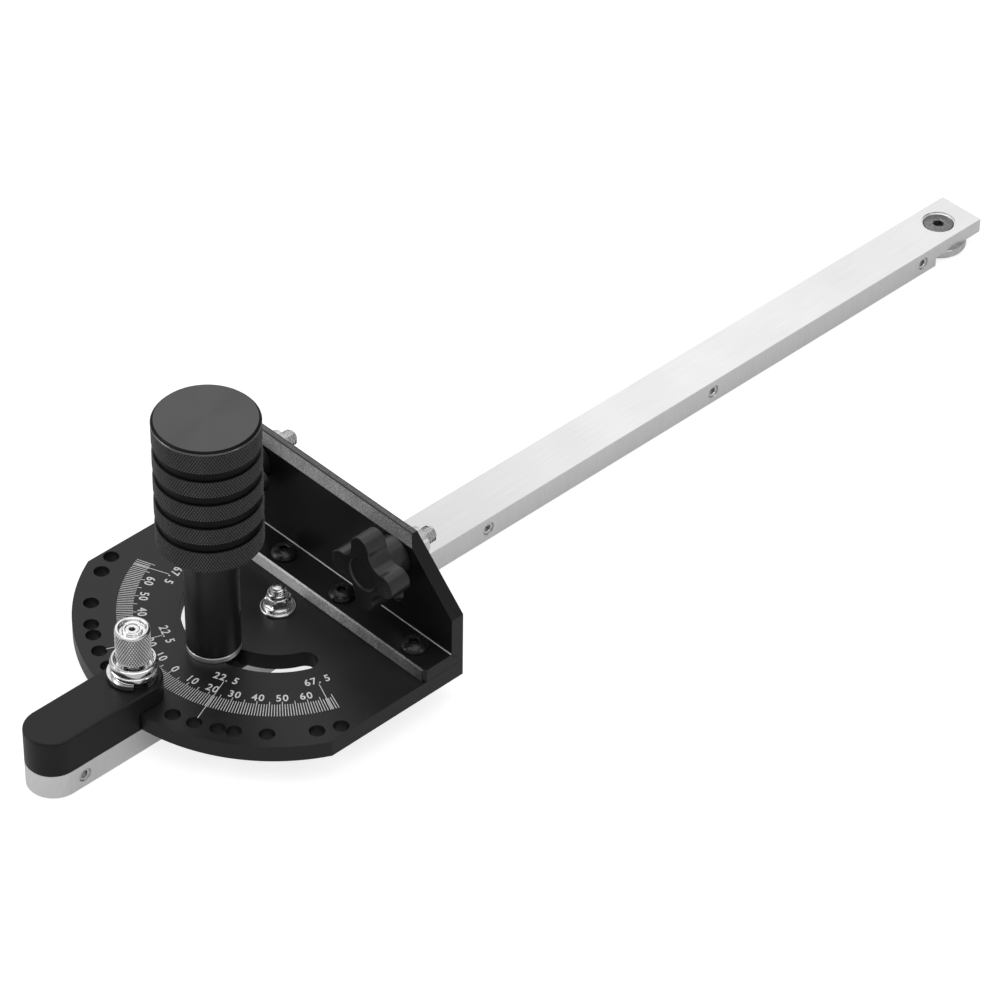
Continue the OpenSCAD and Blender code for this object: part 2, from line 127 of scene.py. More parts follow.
# %% Helpers for node trees
def plug(tree, value, entry):
    """Feeds one input with a number, a tuple, a Sum, a socket or a node's first output."""
    if isinstance(value, Sum):
        value = value.socket
    if isinstance(value, bpy.types.Node):
        value = value.outputs[0]
    if isinstance(value, bpy.types.NodeSocket):
        tree.links.new(value, entry)
    else:
        entry.default_value = value


def add_node(tree, kind, feeds=None, **options):
    """Adds a node, sets its options and feeds its inputs by name or by number."""
    node = tree.nodes.new(kind)
    for option, value in options.items():
        setattr(node, option, value)
    for key, value in (feeds or {}).items():
        plug(tree, value, node.inputs[key])
    return node


def math_node(tree, operation, *values):
    return Sum(tree, add_node(tree, "ShaderNodeMath", dict(enumerate(values)), operation=operation))


class Sum:
    """A number in a node tree; each sum that is made with it adds a Math node."""

    def __init__(self, tree, source):
        self.tree = tree
        self.socket = source.outputs[0] if isinstance(source, bpy.types.Node) else source

    def math(self, operation, *others):
        return math_node(self.tree, operation, self, *others)

    def __add__(self, other):
        return self.math("ADD", other)

    def __sub__(self, other):
        return self.math("SUBTRACT", other)

    def __rsub__(self, other):
        return math_node(self.tree, "SUBTRACT", other, self)

    def __mul__(self, other):
        return self.math("MULTIPLY", other)

    def __truediv__(self, other):
        return self.math("DIVIDE", other)

    def __mod__(self, other):
        return self.math("MODULO", other)

    def __gt__(self, other):
        return self.math("GREATER_THAN", other)

    def __lt__(self, other):
        return self.math("LESS_THAN", other)

    def at_least(self, other):
        return self.math("MAXIMUM", other)

    def at_most(self, other):
        return self.math("MINIMUM", other)


def vector(tree, x, y, z):
    return add_node(tree, "ShaderNodeCombineXYZ", {0: x, 1: y, 2: z})


def parts_of(tree, source):
    """The x, y and z of a vector, as three Sums."""
    return [Sum(tree, out) for out in add_node(tree, "ShaderNodeSeparateXYZ", {0: source}).outputs]


# %% [markdown]
# ## Floor and world
# The picture has a plain white ground. The floor gives white to the camera and keeps a faint
# shadow, and shows a softer grey to the metal, which is what the bar's side face mirrors.


# %% Make the floor and the world
def seen_strength(tree, by_camera, by_gloss, plain):
    """How bright a ground looks: to the camera, in gloss and glass, and to all other rays."""
    rays = add_node(tree, "ShaderNodeLightPath").outputs
    mirrored = Sum(tree, rays["Is Glossy Ray"]).at_least(rays["Is Transmission Ray"])
    seen = Sum(tree, rays["Is Camera Ray"]) * (by_camera - plain) + plain
    return mirrored * (by_gloss - plain) + seen


def shader_tree(name):
    material = bpy.data.materials.new(name)
    material.use_nodes = True
    tree = material.node_tree
    tree.nodes.clear()
    return material, tree


def make_floor(reach, drop):
    """A square floor, `reach` metres each way, a little under the bar so that the two don't meet."""
    material, tree = shader_tree("white_ground")
    matte = add_node(tree, "ShaderNodeBsdfDiffuse", {"Color": (0.5, 0.5, 0.5, 1)})
    strength = seen_strength(tree, 0.8, 0.2, 0.0)
    glow = add_node(tree, "ShaderNodeEmission", {"Color": (1, 1, 1, 1), "Strength": strength})
    both = add_node(tree, "ShaderNodeAddShader", {0: matte, 1: glow})
    add_node(tree, "ShaderNodeOutputMaterial", {"Surface": both})
    mesh = bpy.data.meshes.new("floor")
    corners = [(x * reach, y * reach, -drop) for x, y in ((-1, -1), (1, -1), (1, 1), (-1, 1))]
    mesh.from_pydata(corners, [], [(0, 1, 2, 3)])
    mesh.materials.append(material)
    floor = link_new("floor", mesh)


def make_world():
    world = bpy.data.worlds.new("studio")
    world.use_nodes = True
    tree = world.node_tree
    tree.nodes.clear()
    strength = seen_strength(tree, 1.0, 0.35, 0.25)
    sky = add_node(tree, "ShaderNodeBackground", {"Color": (1, 1, 1, 1), "Strength": strength})
    add_node(tree, "ShaderNodeOutputWorld", {"Surface": sky})
    bpy.context.scene.world = world


FLOOR_REACH, FLOOR_DROP = 6.0, 0.0004
make_floor(FLOOR_REACH, FLOOR_DROP)
make_world()
print("floor %.0f m wide, world: %s" % (2 * FLOOR_REACH, bpy.context.scene.world.name))

# %% [markdown]
# ## Lamps
# Black and bright metal show the lamps more than they show their own colour, so the lamps are
# large and soft. One wide softbox behind the gauge is mirrored by every face that looks up, and
# makes the bar's top bright. Two narrow strips draw the light lines on the round pieces.


# %% Hang the lamps
AIM = Vector((0, 0.05, 0.03))


def add_lamp(name, toward, distance, size, radiance):
    """A rectangular softbox that looks at the gauge from the direction `toward`."""
    lamp = bpy.data.lights.new(name, "AREA")
    lamp.shape = "RECTANGLE"
    lamp.size, lamp.size_y = size
    lamp.energy = radiance * math.pi * size[0] * size[1]
    holder = link_new(name, lamp)
    direction = Vector(toward).normalized()
    holder.location = AIM + direction * distance
    holder.rotation_euler = direction.to_track_quat("Z", "Y").to_euler()


add_lamp("softbox_behind", (-0.55, 0.54, 0.66), 1.7, (1.9, 1.1), 0.72)
add_lamp("softbox_above", (0.05, -0.1, 1.0), 1.5, (1.8, 1.8), 1.05)
add_lamp("strip_right", (0.95, 0.22, 0.42), 1.5, (0.16, 1.2), 3.0)
add_lamp("softbox_front_left", (-0.7, -0.75, 0.45), 1.6, (1.0, 1.2), 1.3)
add_lamp("strip_left", (-0.55, -0.68, 0.48), 1.4, (0.06, 0.9), 9.0)
bpy.context.scene.view_settings.view_transform = "Standard"

# %% [markdown]
# ## What every finish is made of
# Each finish is a small tree of nodes on Object coordinates: the metal's grain is noise that is
# stretched along the way the tool moved, and a second noise moves the gloss a little, as handling
# and plating do. Numbers that hold all over a surface sit on the shader's own sockets.


# %% Helpers for finishes
def new_finish(name, color, metallic, roughness, specular=0.5):
    material, tree = shader_tree(name)
    feeds = {"Base Color": (*color, 1), "Metallic": metallic, "Roughness": roughness}
    shader = add_node(tree, "ShaderNodeBsdfPrincipled", {**feeds, "Specular IOR Level": specular})
    add_node(tree, "ShaderNodeOutputMaterial", {"Surface": shader})
    return material, tree, shader


def own_place(tree, axis=(0, 0), stretch=(1, 1, 1)):
    """Object coordinates, measured from an upright axis; `stretch` above 1 makes noise finer."""
    where = add_node(tree, "ShaderNodeTexCoord").outputs["Object"]
    feeds = {"Vector": where, "Location": (-axis[0] * MM, -axis[1] * MM, 0), "Scale": stretch}
    return add_node(tree, "ShaderNodeMapping", feeds)


def object_noise(tree, scale, stretch=(1, 1, 1), detail=2.0):
    feeds = {"Vector": own_place(tree, stretch=stretch), "Scale": scale, "Detail": detail}
    return Sum(tree, add_node(tree, "ShaderNodeTexNoise", feeds).outputs["Fac"])


def facing(tree, way, low, high):
    """1 where the surface's own normal looks along `way`, else 0."""
    normal = add_node(tree, "ShaderNodeTexCoord").outputs["Normal"]
    dot = add_node(tree, "ShaderNodeVectorMath", {0: normal, 1: way}, operation="DOT_PRODUCT")
    return remap(Sum(tree, dot.outputs["Value"]), 0, 1, (low, high))


def remap(value, low, high, source=(0.3, 0.7)):
    """Stretches `source` to `low` and `high`, and stays at those beyond it."""
    feeds = {"Value": value, "From Min": source[0], "From Max": source[1], "To Min": low, "To Max": high}
    return Sum(value.tree, add_node(value.tree, "ShaderNodeMapRange", feeds))


def ramp(value, start, end, before=0, after=1):
    """Like `remap`, for a place on the piece: `start` and `end` are in millimetres."""
    return remap(value, before, after, (start * MM, end * MM))


def roughen(shader, value):
    plug(value.tree, value, shader.inputs["Roughness"])


def bump(tree, shader, height, distance, strength=1.0):
    feeds = {"Height": height, "Distance": distance, "Strength": strength}
    plug(tree, add_node(tree, "ShaderNodeBump", feeds), shader.inputs["Normal"])


def tint(tree, shader, fac, dark, light):
    feeds = {"Factor": fac, "A": (*dark, 1), "B": (*light, 1)}
    mix = add_node(tree, "ShaderNodeMix", feeds, data_type="RGBA").outputs["Result"]
    plug(tree, mix, shader.inputs["Base Color"])
    return mix


# %% [markdown]
# ## The bar and plain steel
# The bar is drawn aluminium: very fine lines run along its top and down its sides. Near the head
# its top is painted darker, as painted shade from the head. Plated and oiled steel has only a fine
# mottle, so one helper makes all of it in different greys.


# %% Finishes for the bar and the steel
def make_bar_finish():
    material, tree, shader = new_finish("drawn_aluminium", (0.86, 0.86, 0.87), 1.0, 0.3)
    lengthwise = object_noise(tree, 2200, (1, 0.02, 1), 3.0)
    crosswise = object_noise(tree, 1100, (1, 1, 0.12), 3.0)
    side = facing(tree, (1, 0, 0), 0.5, 0.9)
    mix = add_node(tree, "ShaderNodeMix", {"Factor": side, "A": lengthwise, "B": crosswise})
    grain = Sum(tree, mix.outputs["Result"])
    metal = tint(tree, shader, remap(grain, 0, 1), (0.84, 0.84, 0.85), (0.89, 0.89, 0.89))
    _, along, _ = parts_of(tree, own_place(tree))
    # Painted shade: the bar's top is darkened towards the head, which shades it.
    painted_head_shade = ramp(along, 30, 160, 0.26, 0) * facing(tree, (0, 0, 1), 0.9, 0.99)
    feeds = {0: metal, "Scale": 1 - painted_head_shade}
    head_shaded_metal = add_node(tree, "ShaderNodeVectorMath", feeds, operation="SCALE")
    plug(tree, head_shaded_metal, shader.inputs["Base Color"])
    roughen(shader, remap(object_noise(tree, 35), 0.26, 0.36))
    bump(tree, shader, grain, 0.000004, 0.3)
    return material


def make_steel_finish(name, dark, light, rough, scale, relief, metallic=1.0):
    """Mottled metal: `rough` is its lowest and highest roughness, `relief` its height in metres."""
    material, tree, shader = new_finish(name, light, metallic, rough[0])
    fine = object_noise(tree, scale, detail=3.0)
    tint(tree, shader, remap(fine, 0, 1), dark, light)
    roughen(shader, remap(object_noise(tree, 60), *rough))
    bump(tree, shader, fine, relief)
    return material


def grey(value, blue=0.0):
    return (value, value, value + blue)


bar_finish = make_bar_finish()
zinc_finish = make_steel_finish(
    "zinc_plated_steel", grey(0.66, 0.01), grey(0.82), (0.18, 0.30), 420, 0.000008
)
satin_finish = make_steel_finish("satin_steel", grey(0.80), grey(0.90), (0.38, 0.5), 500, 0.000006)
thread_finish = make_steel_finish(
    "bright_thread_steel", grey(0.60, 0.01), grey(0.80), (0.20, 0.32), 800, 0.000006
)
dark_finish = make_steel_finish(
    "dark_oiled_steel", grey(0.14, 0.005), grey(0.30, 0.01), (0.26, 0.42), 1100, 0.000012
)
oxide_finish = make_steel_finish(
    "black_oxide_steel", grey(0.016, 0.001), grey(0.035, 0.002), (0.20, 0.32), 1300, 0.00001, 0.5
)
print("steel:", [m.name for m in bpy.data.materials if "steel" in m.name])

# %% [markdown]
# ## Black plate, plastic and scale paint
# The plate and the block are anodised after a fine bead blast, so they are near black and satin.
# The star knobs are moulded, with a skin that is a little glossier. The scale's marks are white.


# %% Finishes for the black pieces and the scale
def make_black_finish(name, gloss):
    material, tree, shader = new_finish(name, (0.012, 0.012, 0.0125), 0.0, 0.38, gloss)
    cloud = object_noise(tree, 45, detail=3.0)
    tint(tree, shader, remap(cloud, 0, 1), (0.010, 0.010, 0.0105), (0.016, 0.016, 0.017))
    roughen(shader, remap(cloud, 0.34, 0.42))
    bump(tree, shader, object_noise(tree, 4200), 0.000006, 0.5)
    return material


def make_plastic_finish():
    material, tree, shader = new_finish("moulded_black_plastic", (0.014, 0.014, 0.015), 0.0, 0.32, 0.6)
    skin = object_noise(tree, 1500, detail=3.0)
    tint(tree, shader, remap(skin, 0, 1), (0.014, 0.014, 0.015), (0.022, 0.022, 0.023))
    roughen(shader, remap(object_noise(tree, 120), 0.26, 0.36))
    bump(tree, shader, skin, 0.000015, 0.4)
    return material


def make_paint_finish():
    material, tree, shader = new_finish("white_scale_fill", (0.82, 0.82, 0.81), 0.0, 0.5)
    mottle = remap(object_noise(tree, 900), 0, 1)
    tint(tree, shader, mottle, (0.82, 0.82, 0.81), (0.94, 0.94, 0.93))
    return material


black_finish = make_black_finish("black_anodised", 0.36)
block_finish = make_black_finish("black_anodised_block", 0.24)
plastic_finish = make_plastic_finish()
paint_finish = make_paint_finish()
print("plate:", black_finish.name, "block:", block_finish.name, "knobs:", plastic_finish.name)

# %% [markdown]
# ## The bracket's sawn faces
# The bracket is sawn from a black extrusion. The saw leaves the front of its flange grey and
# grainy, and the long bevel in front of its top grey too. The flange front is also painted brighter
# towards the left and darker towards the right, as painted light. The narrow top is lighter than
# the faces, between two dark edges, and a thin painted highlight marks the inner corner. An image
# could be painted for that, but it would have to be laid out by hand. Here each mark is found by
# which way the surface looks and how high it lies, so it stays on its own face.

# %% Finish for the bracket
SCREW_HEAD_H, BRACKET_TOP_DEEP = 2.7, 2.6
FLANGE_TOP = span("bracket_screws")[1][2] - SCREW_HEAD_H
_, BRACKET_BACK, BRACKET_TOP = span("fence_bracket")[1]
BEVEL_WAY, CORNER_WAY = (0, -0.756, 0.655), (0, -0.707, 0.707)


def make_sawn_black_finish():
    material, tree, shader = new_finish("black_anodised_angle", (0.010, 0.010, 0.0105), 0.0, 0.32, 0.34)
    x, y, z = parts_of(tree, own_place(tree))
    low = ramp(z, FLANGE_TOP - 0.2, FLANGE_TOP + 0.2, 1, 0)
    slope = facing(tree, BEVEL_WAY, 0.93, 0.98)
    front = facing(tree, (0, -1, 0), 0.90, 0.97).at_least(slope) * low
    # Painted light: the flange front is brighter towards the left and darker towards the right.
    front = front * ramp(x, -10, 62, 2.0, 0.1)
    bevel = slope * (1 - low) * 0.42
    top = facing(tree, (0, 0, 1), 0.975, 0.99) * ramp(z, BRACKET_TOP - 0.4, BRACKET_TOP - 0.2) * 0.2
    for edge, inward in ((BRACKET_BACK - BRACKET_TOP_DEEP, 0.8), (BRACKET_BACK, -0.5)):
        top = top * ramp(y, edge + 0.6 * inward, edge + inward)
    sawn = front.at_least(bevel).at_least(top)
    # Painted highlight: a thin light line along the inner corner between flange and upright.
    corner_highlight = facing(tree, CORNER_WAY, 0.86, 0.96) * ramp(z, FLANGE_TOP, FLANGE_TOP + 0.05)
    corner_highlight = corner_highlight * ramp(z, FLANGE_TOP + 0.7, FLANGE_TOP + 1.1, 1, 0)
    grain = object_noise(tree, 1900)
    speckle = remap(grain, 0.4, 1.0, (0.32, 0.68)) * remap(object_noise(tree, 120), 0.75, 1.0)
    light = (sawn * speckle).at_least(corner_highlight * 0.7)
    tint(tree, shader, light, (0.010, 0.010, 0.0105), (0.85, 0.85, 0.855))
    roughen(shader, remap(sawn, 0.30, 0.50, (0, 1)))
    bump(tree, shader, sawn.at_most(1.0) * grain, 0.00004, 0.8)
    return material


angle_finish = make_sawn_black_finish()
print("flange top %.2f, bracket top %.2f" % (FLANGE_TOP, BRACKET_TOP))

# %% [markdown]
# ## Turned and knurled metal
# A lathe leaves fine rings round the axis, and on a flat end they bend the light into a fan, which
# the shader's tangent does here. Knurling's colour follows the distance from the axis: its points
# are lighter, as part wear and part painted highlight, and its grooves dark, as part oil and part
# painted shade. The pin's centre hole is painted dark the same way, as painted shade.


# %% Finishes for turned pieces
def make_turned_finish(name, color, metallic, rough, axis, pitch, relief, swirl=0.0, gloss=0.5):
    """`pitch` is the width of a ring in millimetres, `swirl` how far the light fans out."""
    material, tree, shader = new_finish(name, color, metallic, rough, gloss)
    place = own_place(tree, axis)
    feeds = {"Vector": place, "Scale": 1 / (pitch * MM) / 3, "Distortion": 1.5, "Detail": 2}
    rings = add_node(tree, "ShaderNodeTexWave", feeds, wave_type="RINGS", rings_direction="Z")
    bump(tree, shader, rings.outputs["Fac"], relief)
    if swirl:
        x, y, _ = parts_of(tree, place)
        around = vector(tree, y * -1, x, 0)
        unit = add_node(tree, "ShaderNodeVectorMath", {0: around}, operation="NORMALIZE")
        shader.inputs["Anisotropic"].default_value = swirl
        plug(tree, unit, shader.inputs["Tangent"])
    return material


def make_knurl_finish(name, groove_shade_and_oil, crest, metallic, rough, axis, radius, depth):
    """`crest` is the colour at `radius` millimetres from the axis, as part wear and part painted
    highlight; the colour at `depth` below is part oil and part painted shade in the grooves.
    """
    material, tree, shader = new_finish(name, crest, metallic, rough)
    x, y, _ = parts_of(tree, own_place(tree, axis))
    reach = (x * x + y * y).math("SQRT")
    # Painted light: grooves darkened as part oil and part painted shade, points lighter as part wear and
    # part painted highlight.
    tint(tree, shader, ramp(reach, radius - depth, radius - 0.5 * depth), groove_shade_and_oil, crest)
    roughen(shader, remap(object_noise(tree, 700), rough - 0.05, rough + 0.08))
    return material


GRIP_CUT, PLUNGER_CUT = 0.42, 0.4
grip_finish = make_turned_finish(
    "turned_black_anodised", (0.013, 0.013, 0.0132), 0.0, 0.36, GRIP_AXIS, 0.35, 0.000004
)
grip_top_finish = make_turned_finish(
    "turned_black_face", (0.10, 0.10, 0.102), 0.6, 0.38, GRIP_AXIS, 0.4, 0.000003, 0.85
)
grip_rim_finish = make_turned_finish(
    "rubbed_rim", (0.16, 0.16, 0.163), 1.0, 0.22, GRIP_AXIS, 0.4, 0.000002
)
# Painted shade: the grip's grooves and chamfers are darker and less glossy than the grip itself.
groove_shade_finish = make_turned_finish(
    "turned_black_groove", (0.004, 0.004, 0.0041), 0.0, 0.45, GRIP_AXIS, 0.35, 0.000004, gloss=0.15
)
# Painted light: the grip's knurl grooves are near black and its points grey, part oil and wear, part
# painted shade and highlight.
grip_knurl_finish = make_knurl_finish(
    "knurled_black_anodised", grey(0.003), grey(0.10, 0.002), 0.0, 0.3, GRIP_AXIS, GRIP_R, GRIP_CUT
)
plunger_finish = make_turned_finish(
    "turned_bright_steel", grey(0.84), 1.0, 0.16, PLUNGER_AXIS, 0.25, 0.000003, 0.4
)
# Painted light: the knob's knurl grooves are near black and its points nearly white, part oil and wear,
# part painted shade and highlight.
plunger_knurl_finish = make_knurl_finish(
    "knurled_bright_steel", grey(0.03), grey(0.98), 0.75, 0.32, PLUNGER_AXIS, PLUNGER_R, PLUNGER_CUT
)
# Painted shade: the pin's centre hole is darkened towards the axis.
pin_finish = make_knurl_finish(
    "centre_drilled_steel", grey(0.02), grey(0.84), 1.0, 0.2, PLUNGER_AXIS, 1.35, 0.6
)
print("finishes:", len([m for m in bpy.data.materials if m.use_nodes]))

# %% [markdown]
# ## Finishes on the solids
# A solid whose shape is already right keeps its mesh and only gets a finish, on its own material
# slots. The pieces whose edges are broken further down look theirs up in the same list.

# %% Dress the solids
DRESSED = [
    (bar_finish, ["miter_bar"]),
    (zinc_finish, ["slot_washer", "bar_set_screws", "plunger_lock_washer", "handle_washer"]),
    (zinc_finish, ["pivot_washer", "pivot_nut", "fence_nut_left", "fence_nut_right"]),
    (dark_finish, ["slot_washer_screw", "pointer_block_screws"]),
    (block_finish, ["pointer_block"]),
    (plunger_finish, ["plunger_housing", "plunger_knob", "plunger_pin"]),
    (thread_finish, ["pivot_stud", "handle_stud", "fence_stud_left", "fence_stud_right"]),
    (black_finish, ["protractor_plate"]),
    (angle_finish, ["fence_bracket"]),
    (oxide_finish, ["bracket_screws"]),
    (grip_finish, ["handle_grip", "handle_post"]),
    (plastic_finish, ["star_knob_left", "star_knob_right"]),
]
FINISH_OF = {node: finish for finish, names in DRESSED for node in names}
for node, finish in FINISH_OF.items():
    if not nodes[node].material_slots:
        nodes[node].data.materials.append(finish)
    for slot in nodes[node].material_slots:
        slot.material = finish
print("dressed", len(FINISH_OF), "of", len(nodes), "solids")

# %% [markdown]
# ## Helpers for pieces
# `joined` makes one mesh of several closed ones, with its normals pointing out, and `add_piece`
# links a mesh that is already in place. `flatten` turns an object with modifiers into a plain mesh.


# %% Piece helpers
def joined(name, *meshes):
    work = bmesh.new()
    for mesh in meshes:
        work.from_mesh(mesh)
    bmesh.ops.remove_doubles(work, verts=work.verts, dist=1e-7)
    bmesh.ops.recalc_face_normals(work, faces=work.faces)
    result = bpy.data.meshes.new(name)
    work.to_mesh(result)
    work.free()
    return result


def add_piece(name, mesh, finish, body, stands_for=()):
    """Links a mesh, or a list of meshes as one, to ride on a body."""
    if isinstance(mesh, list):
        mesh = joined(name, *mesh)
    piece = link_new(name, mesh)
    mesh.materials.clear()
    mesh.materials.append(finish)
    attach(piece, body)
    if stands_for:
        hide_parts(*stands_for)
    print(name, len(mesh.polygons), "faces")


def flatten(holder):
    bpy.context.view_layer.update()
    depsgraph = bpy.context.evaluated_depsgraph_get()
    mesh = bpy.data.meshes.new_from_object(holder.evaluated_get(depsgraph))
    bpy.data.objects.remove(holder)
    return mesh


def smooth_by_angle(mesh, degrees):
    for polygon in mesh.polygons:
        polygon.use_smooth = True
    mesh.set_sharp_from_angle(angle=math.radians(degrees))


def faceted(mesh):
    for polygon in mesh.polygons:
        polygon.use_smooth = False
    return mesh


# %% [markdown]
# ## Broken edges on the milled pieces
# A sharp solid looks drawn, not made. `softened` copies one, welds its loose triangles, joins the
# flat ones and breaks its sharp edges with a small round, as a tumbler or a file does, so that
# every edge catches a thin line of light. `weighted` then lets the large faces set the normals, so
# that a broken edge doesn't tilt them. Two index holes nearly touch, and the web between them is
# thinner than a bevel, so `spare` leaves their edges alone.


# %% Break the edges of the milled pieces
def weighted(mesh, name):
    holder = link_new(name + "_work", mesh)
    holder.modifiers.new("normals", "WEIGHTED_NORMAL").keep_sharp = True
    return flatten(holder)


def softened(node, edge, spare=None):
    CREASE, FLAT, WELD = math.radians(28), math.radians(0.6), 2e-6
    mesh = nodes[node].data.copy()
    mesh.name = node + "_soft"
    work = bmesh.new()
    work.from_mesh(mesh)
    bmesh.ops.remove_doubles(work, verts=work.verts, dist=WELD)
    bmesh.ops.dissolve_limit(work, angle_limit=FLAT, verts=work.verts, edges=work.edges)
    edges = [e for e in work.edges if len(e.link_faces) == 2 and e.calc_face_angle(0) > CREASE]
    if spare:
        edges = [e for e in edges if not spare((e.verts[0].co + e.verts[1].co) / 2 / MM)]
    bmesh.ops.bevel(
        work,
        geom=edges,
        offset=edge * MM,
        offset_type="OFFSET",
        segments=2,
        profile=0.5,
        affect="EDGES",
        clamp_overlap=True,
    )
    bmesh.ops.triangulate(work, faces=[f for f in work.faces if len(f.verts) > 4])
    work.to_mesh(mesh)
    work.free()
    smooth_by_angle(mesh, 35)
    return weighted(mesh, node)


PAIR_ANGLES, PAIR_RADII = (27, 38), (58, 67)


def near_touching_holes(point):
    angle = abs(math.degrees(math.atan2(point.x, -point.y)))
    radius = math.hypot(point.x, point.y)
    return PAIR_ANGLES[0] < angle < PAIR_ANGLES[1] and PAIR_RADII[0] < radius < PAIR_RADII[1]


MILLED = [
    ("miter_bar", "guide_bar", "bar_aluminium", 0.22),
    ("pointer_block", "guide_bar", "black_anodised", 0.45),
    ("protractor_plate", "head", "black_anodised", 0.22),
    ("fence_bracket", "head", "black_anodised", 0.32),
    ("slot_washer", "guide_bar", "zinc_steel", 0.3),
    ("handle_post", "handle", "black_anodised", 0.25),
    ("star_knob_left", "left_knob", "black_plastic", 0.55),
    ("star_knob_right", "right_knob", "black_plastic", 0.55),
]
for node, body, slot_name, edge in MILLED:
    mesh = softened(node, edge, near_touching_holes if node == "protractor_plate" else None)
    add_piece(node + "_finished", mesh, FINISH_OF[node], body, [node])

# %% [markdown]
# ## A lathe
# A lathe makes a piece from its half profile. `turned` does the same: it sweeps a list of radius
# and height round an upright axis, closes it at both poles, and lets a ring be a hexagon, which is
# how a socket is broached into a round screw. `near` lists points by their offset from one
# corner of the piece, as a drawing does.


# %% The lathe
def near(radius, height, *offsets):
    return [(radius + out, height + rise, *kind) for out, rise, *kind in offsets]


def ring_radius(radius, angle, kind):
    if kind == "round":
        return radius
    sixth = math.radians(60)
    return radius / math.cos((angle % sixth) - sixth / 2)


def turned(name, profile, steps=96, centre=(0, 0), smooth=32):
    """Profile points are (radius, height) or (half across flats, height, "hex"), in millimetres."""
    work = bmesh.new()
    rings = []
    for radius, height, *kind in profile:
        ring = []
        for step in range(steps if radius else 1):
            angle = 2 * math.pi * step / steps
            reach = ring_radius(radius, angle, kind[0] if kind else "round")
            x = centre[0] + reach * math.cos(angle)
            y = centre[1] + reach * math.sin(angle)
            ring.append(work.verts.new((x * MM, y * MM, height * MM)))
        rings.append(ring)
    for low, high in zip(rings, rings[1:]):
        for step in range(steps):
            after = (step + 1) % steps
            if len(low) == 1:
                work.faces.new((low[0], high[after], high[step]))
            elif len(high) == 1:
                work.faces.new((low[step], low[after], high[0]))
            else:
                work.faces.new((low[step], low[after], high[after], high[step]))
    bmesh.ops.recalc_face_normals(work, faces=work.faces)
    mesh = bpy.data.meshes.new(name)
    work.to_mesh(mesh)
    work.free()
    smooth_by_angle(mesh, smooth)
    return mesh


def lying(mesh, x, y, z, spin=0):
    """Lays an upright mesh down at a place in millimetres, so that its +Z becomes +Y."""
    place = Matrix.Translation(Vector((x, y, z)) * MM)
    tip, turn = Matrix.Rotation(math.radians(-90), 4, "X"), Matrix.Rotation(math.radians(spin), 4, "Z")
    mesh.transform(place @ tip @ turn)
    return mesh


# %% [markdown]
# ## Washers and the pivot's nut
# The washers have rolled rims that catch the light all round. The pivot's nut has a flange and a
# plain collar, and its corners are cut off by the cone that every turned nut has. A bevel on the
# solids would round every edge alike, so they are turned anew from their profiles.

# %% Turn the washers and the pivot's nut
WASHERS = [
    ("pivot_washer", "pivot_stud", "guide_bar", zinc_finish, 0.15, 0.42),
    ("handle_washer", "handle_stud", "handle", satin_finish, 0.0, 0.6),
]
for node, stud, body, finish, play, rim in WASHERS:
    (_, _, low), (_, _, high) = span(node)
    bore, outer = half_width(stud) + play, half_width(node)
    profile = [(bore, low), (outer - 0.3, low), (outer, low + 0.2)]
    for step in range(5):
        turn = math.radians(step * 90 / 4)
        profile.append((outer - rim + rim * math.cos(turn), high - rim + rim * math.sin(turn)))
    profile += [(bore, high), (bore, low)]
    ring = turned(node, profile, centre=middle(node)[:2], smooth=40)
    add_piece(node + "_turned", [ring], finish, body, [node])

nut_bore, nut_hex, nut_collar = 2.53, 4.0, 3.5
(_, _, nut_z), (_, _, nut_top) = span("pivot_nut")
pivot_nut = turned(
    "pivot_nut_turned",
    [
        (nut_bore, nut_z),
        *near(half_width("pivot_nut"), nut_z, (-0.2, 0), (-0.04, 0.1), (0, 0.3)),
        *near(half_width("pivot_nut"), nut_z, (-0.04, 0.6), (-0.17, 0.82), (-0.4, 0.95)),
        *near(nut_hex, nut_z, (0, 1.0, "hex"), (0, 3.9, "hex"), (-0.08, 4.5)),
        (nut_collar, nut_z + 4.6),
        *near(nut_collar, nut_top, (0, -0.5), (-0.12, -0.2), (-0.4, 0)),
        *near(nut_bore, nut_top, (0.2, 0), (0, -0.3)),
        (nut_bore, nut_z),
    ],
    smooth=30,
)
add_piece("pivot_nut_turned", [pivot_nut], zinc_finish, "guide_bar", ["pivot_nut"])

# %% [markdown]
# ## The fence nuts
# The two nuts stand behind the bracket, and each stud's thread comes out of its nut. They could be
# cylinders with six sides, but then their ends would be sharp hexagons. On the lathe, a round ring
# next to a hexagon gives the cone that cuts the corners off. Each nut is turned upright and laid
# down, with a corner of its hexagon up.

# %% Turn the fence nuts
nut_hex, nut_length, nut_bore = 5.0, 5.7, 3.05
for side in ("left", "right"):
    node = "fence_nut_" + side
    x, _, z = middle(node)
    nut = turned(
        node + "_turned",
        [
            (nut_bore, 0),
            *near(nut_hex, 0, (-0.35, 0), (0, 0.3, "hex")),
            *near(nut_hex, nut_length, (0, -0.6, "hex"), (-0.1, 0)),
            *near(nut_bore, nut_length, (0.4, 0), (0, -0.4)),
            (nut_bore, 0),
        ],
        smooth=30,
    )
    nut = [lying(nut, x, span(node)[0][1], z, 30)]
    add_piece(node + "_turned", nut, satin_finish, side + "_clamp", [node])

# %% [markdown]
# ## Growing what repeats
# A Geometry Nodes tree is a recipe with named inputs. `new_tree` makes an empty one that starts
# from a mesh of places, one vertex each. `on_places` ends it: it puts a copy on each place, makes
# the copies real and gives them their finish. `grow` cooks the recipe on a spare object and brings
# back a plain mesh.


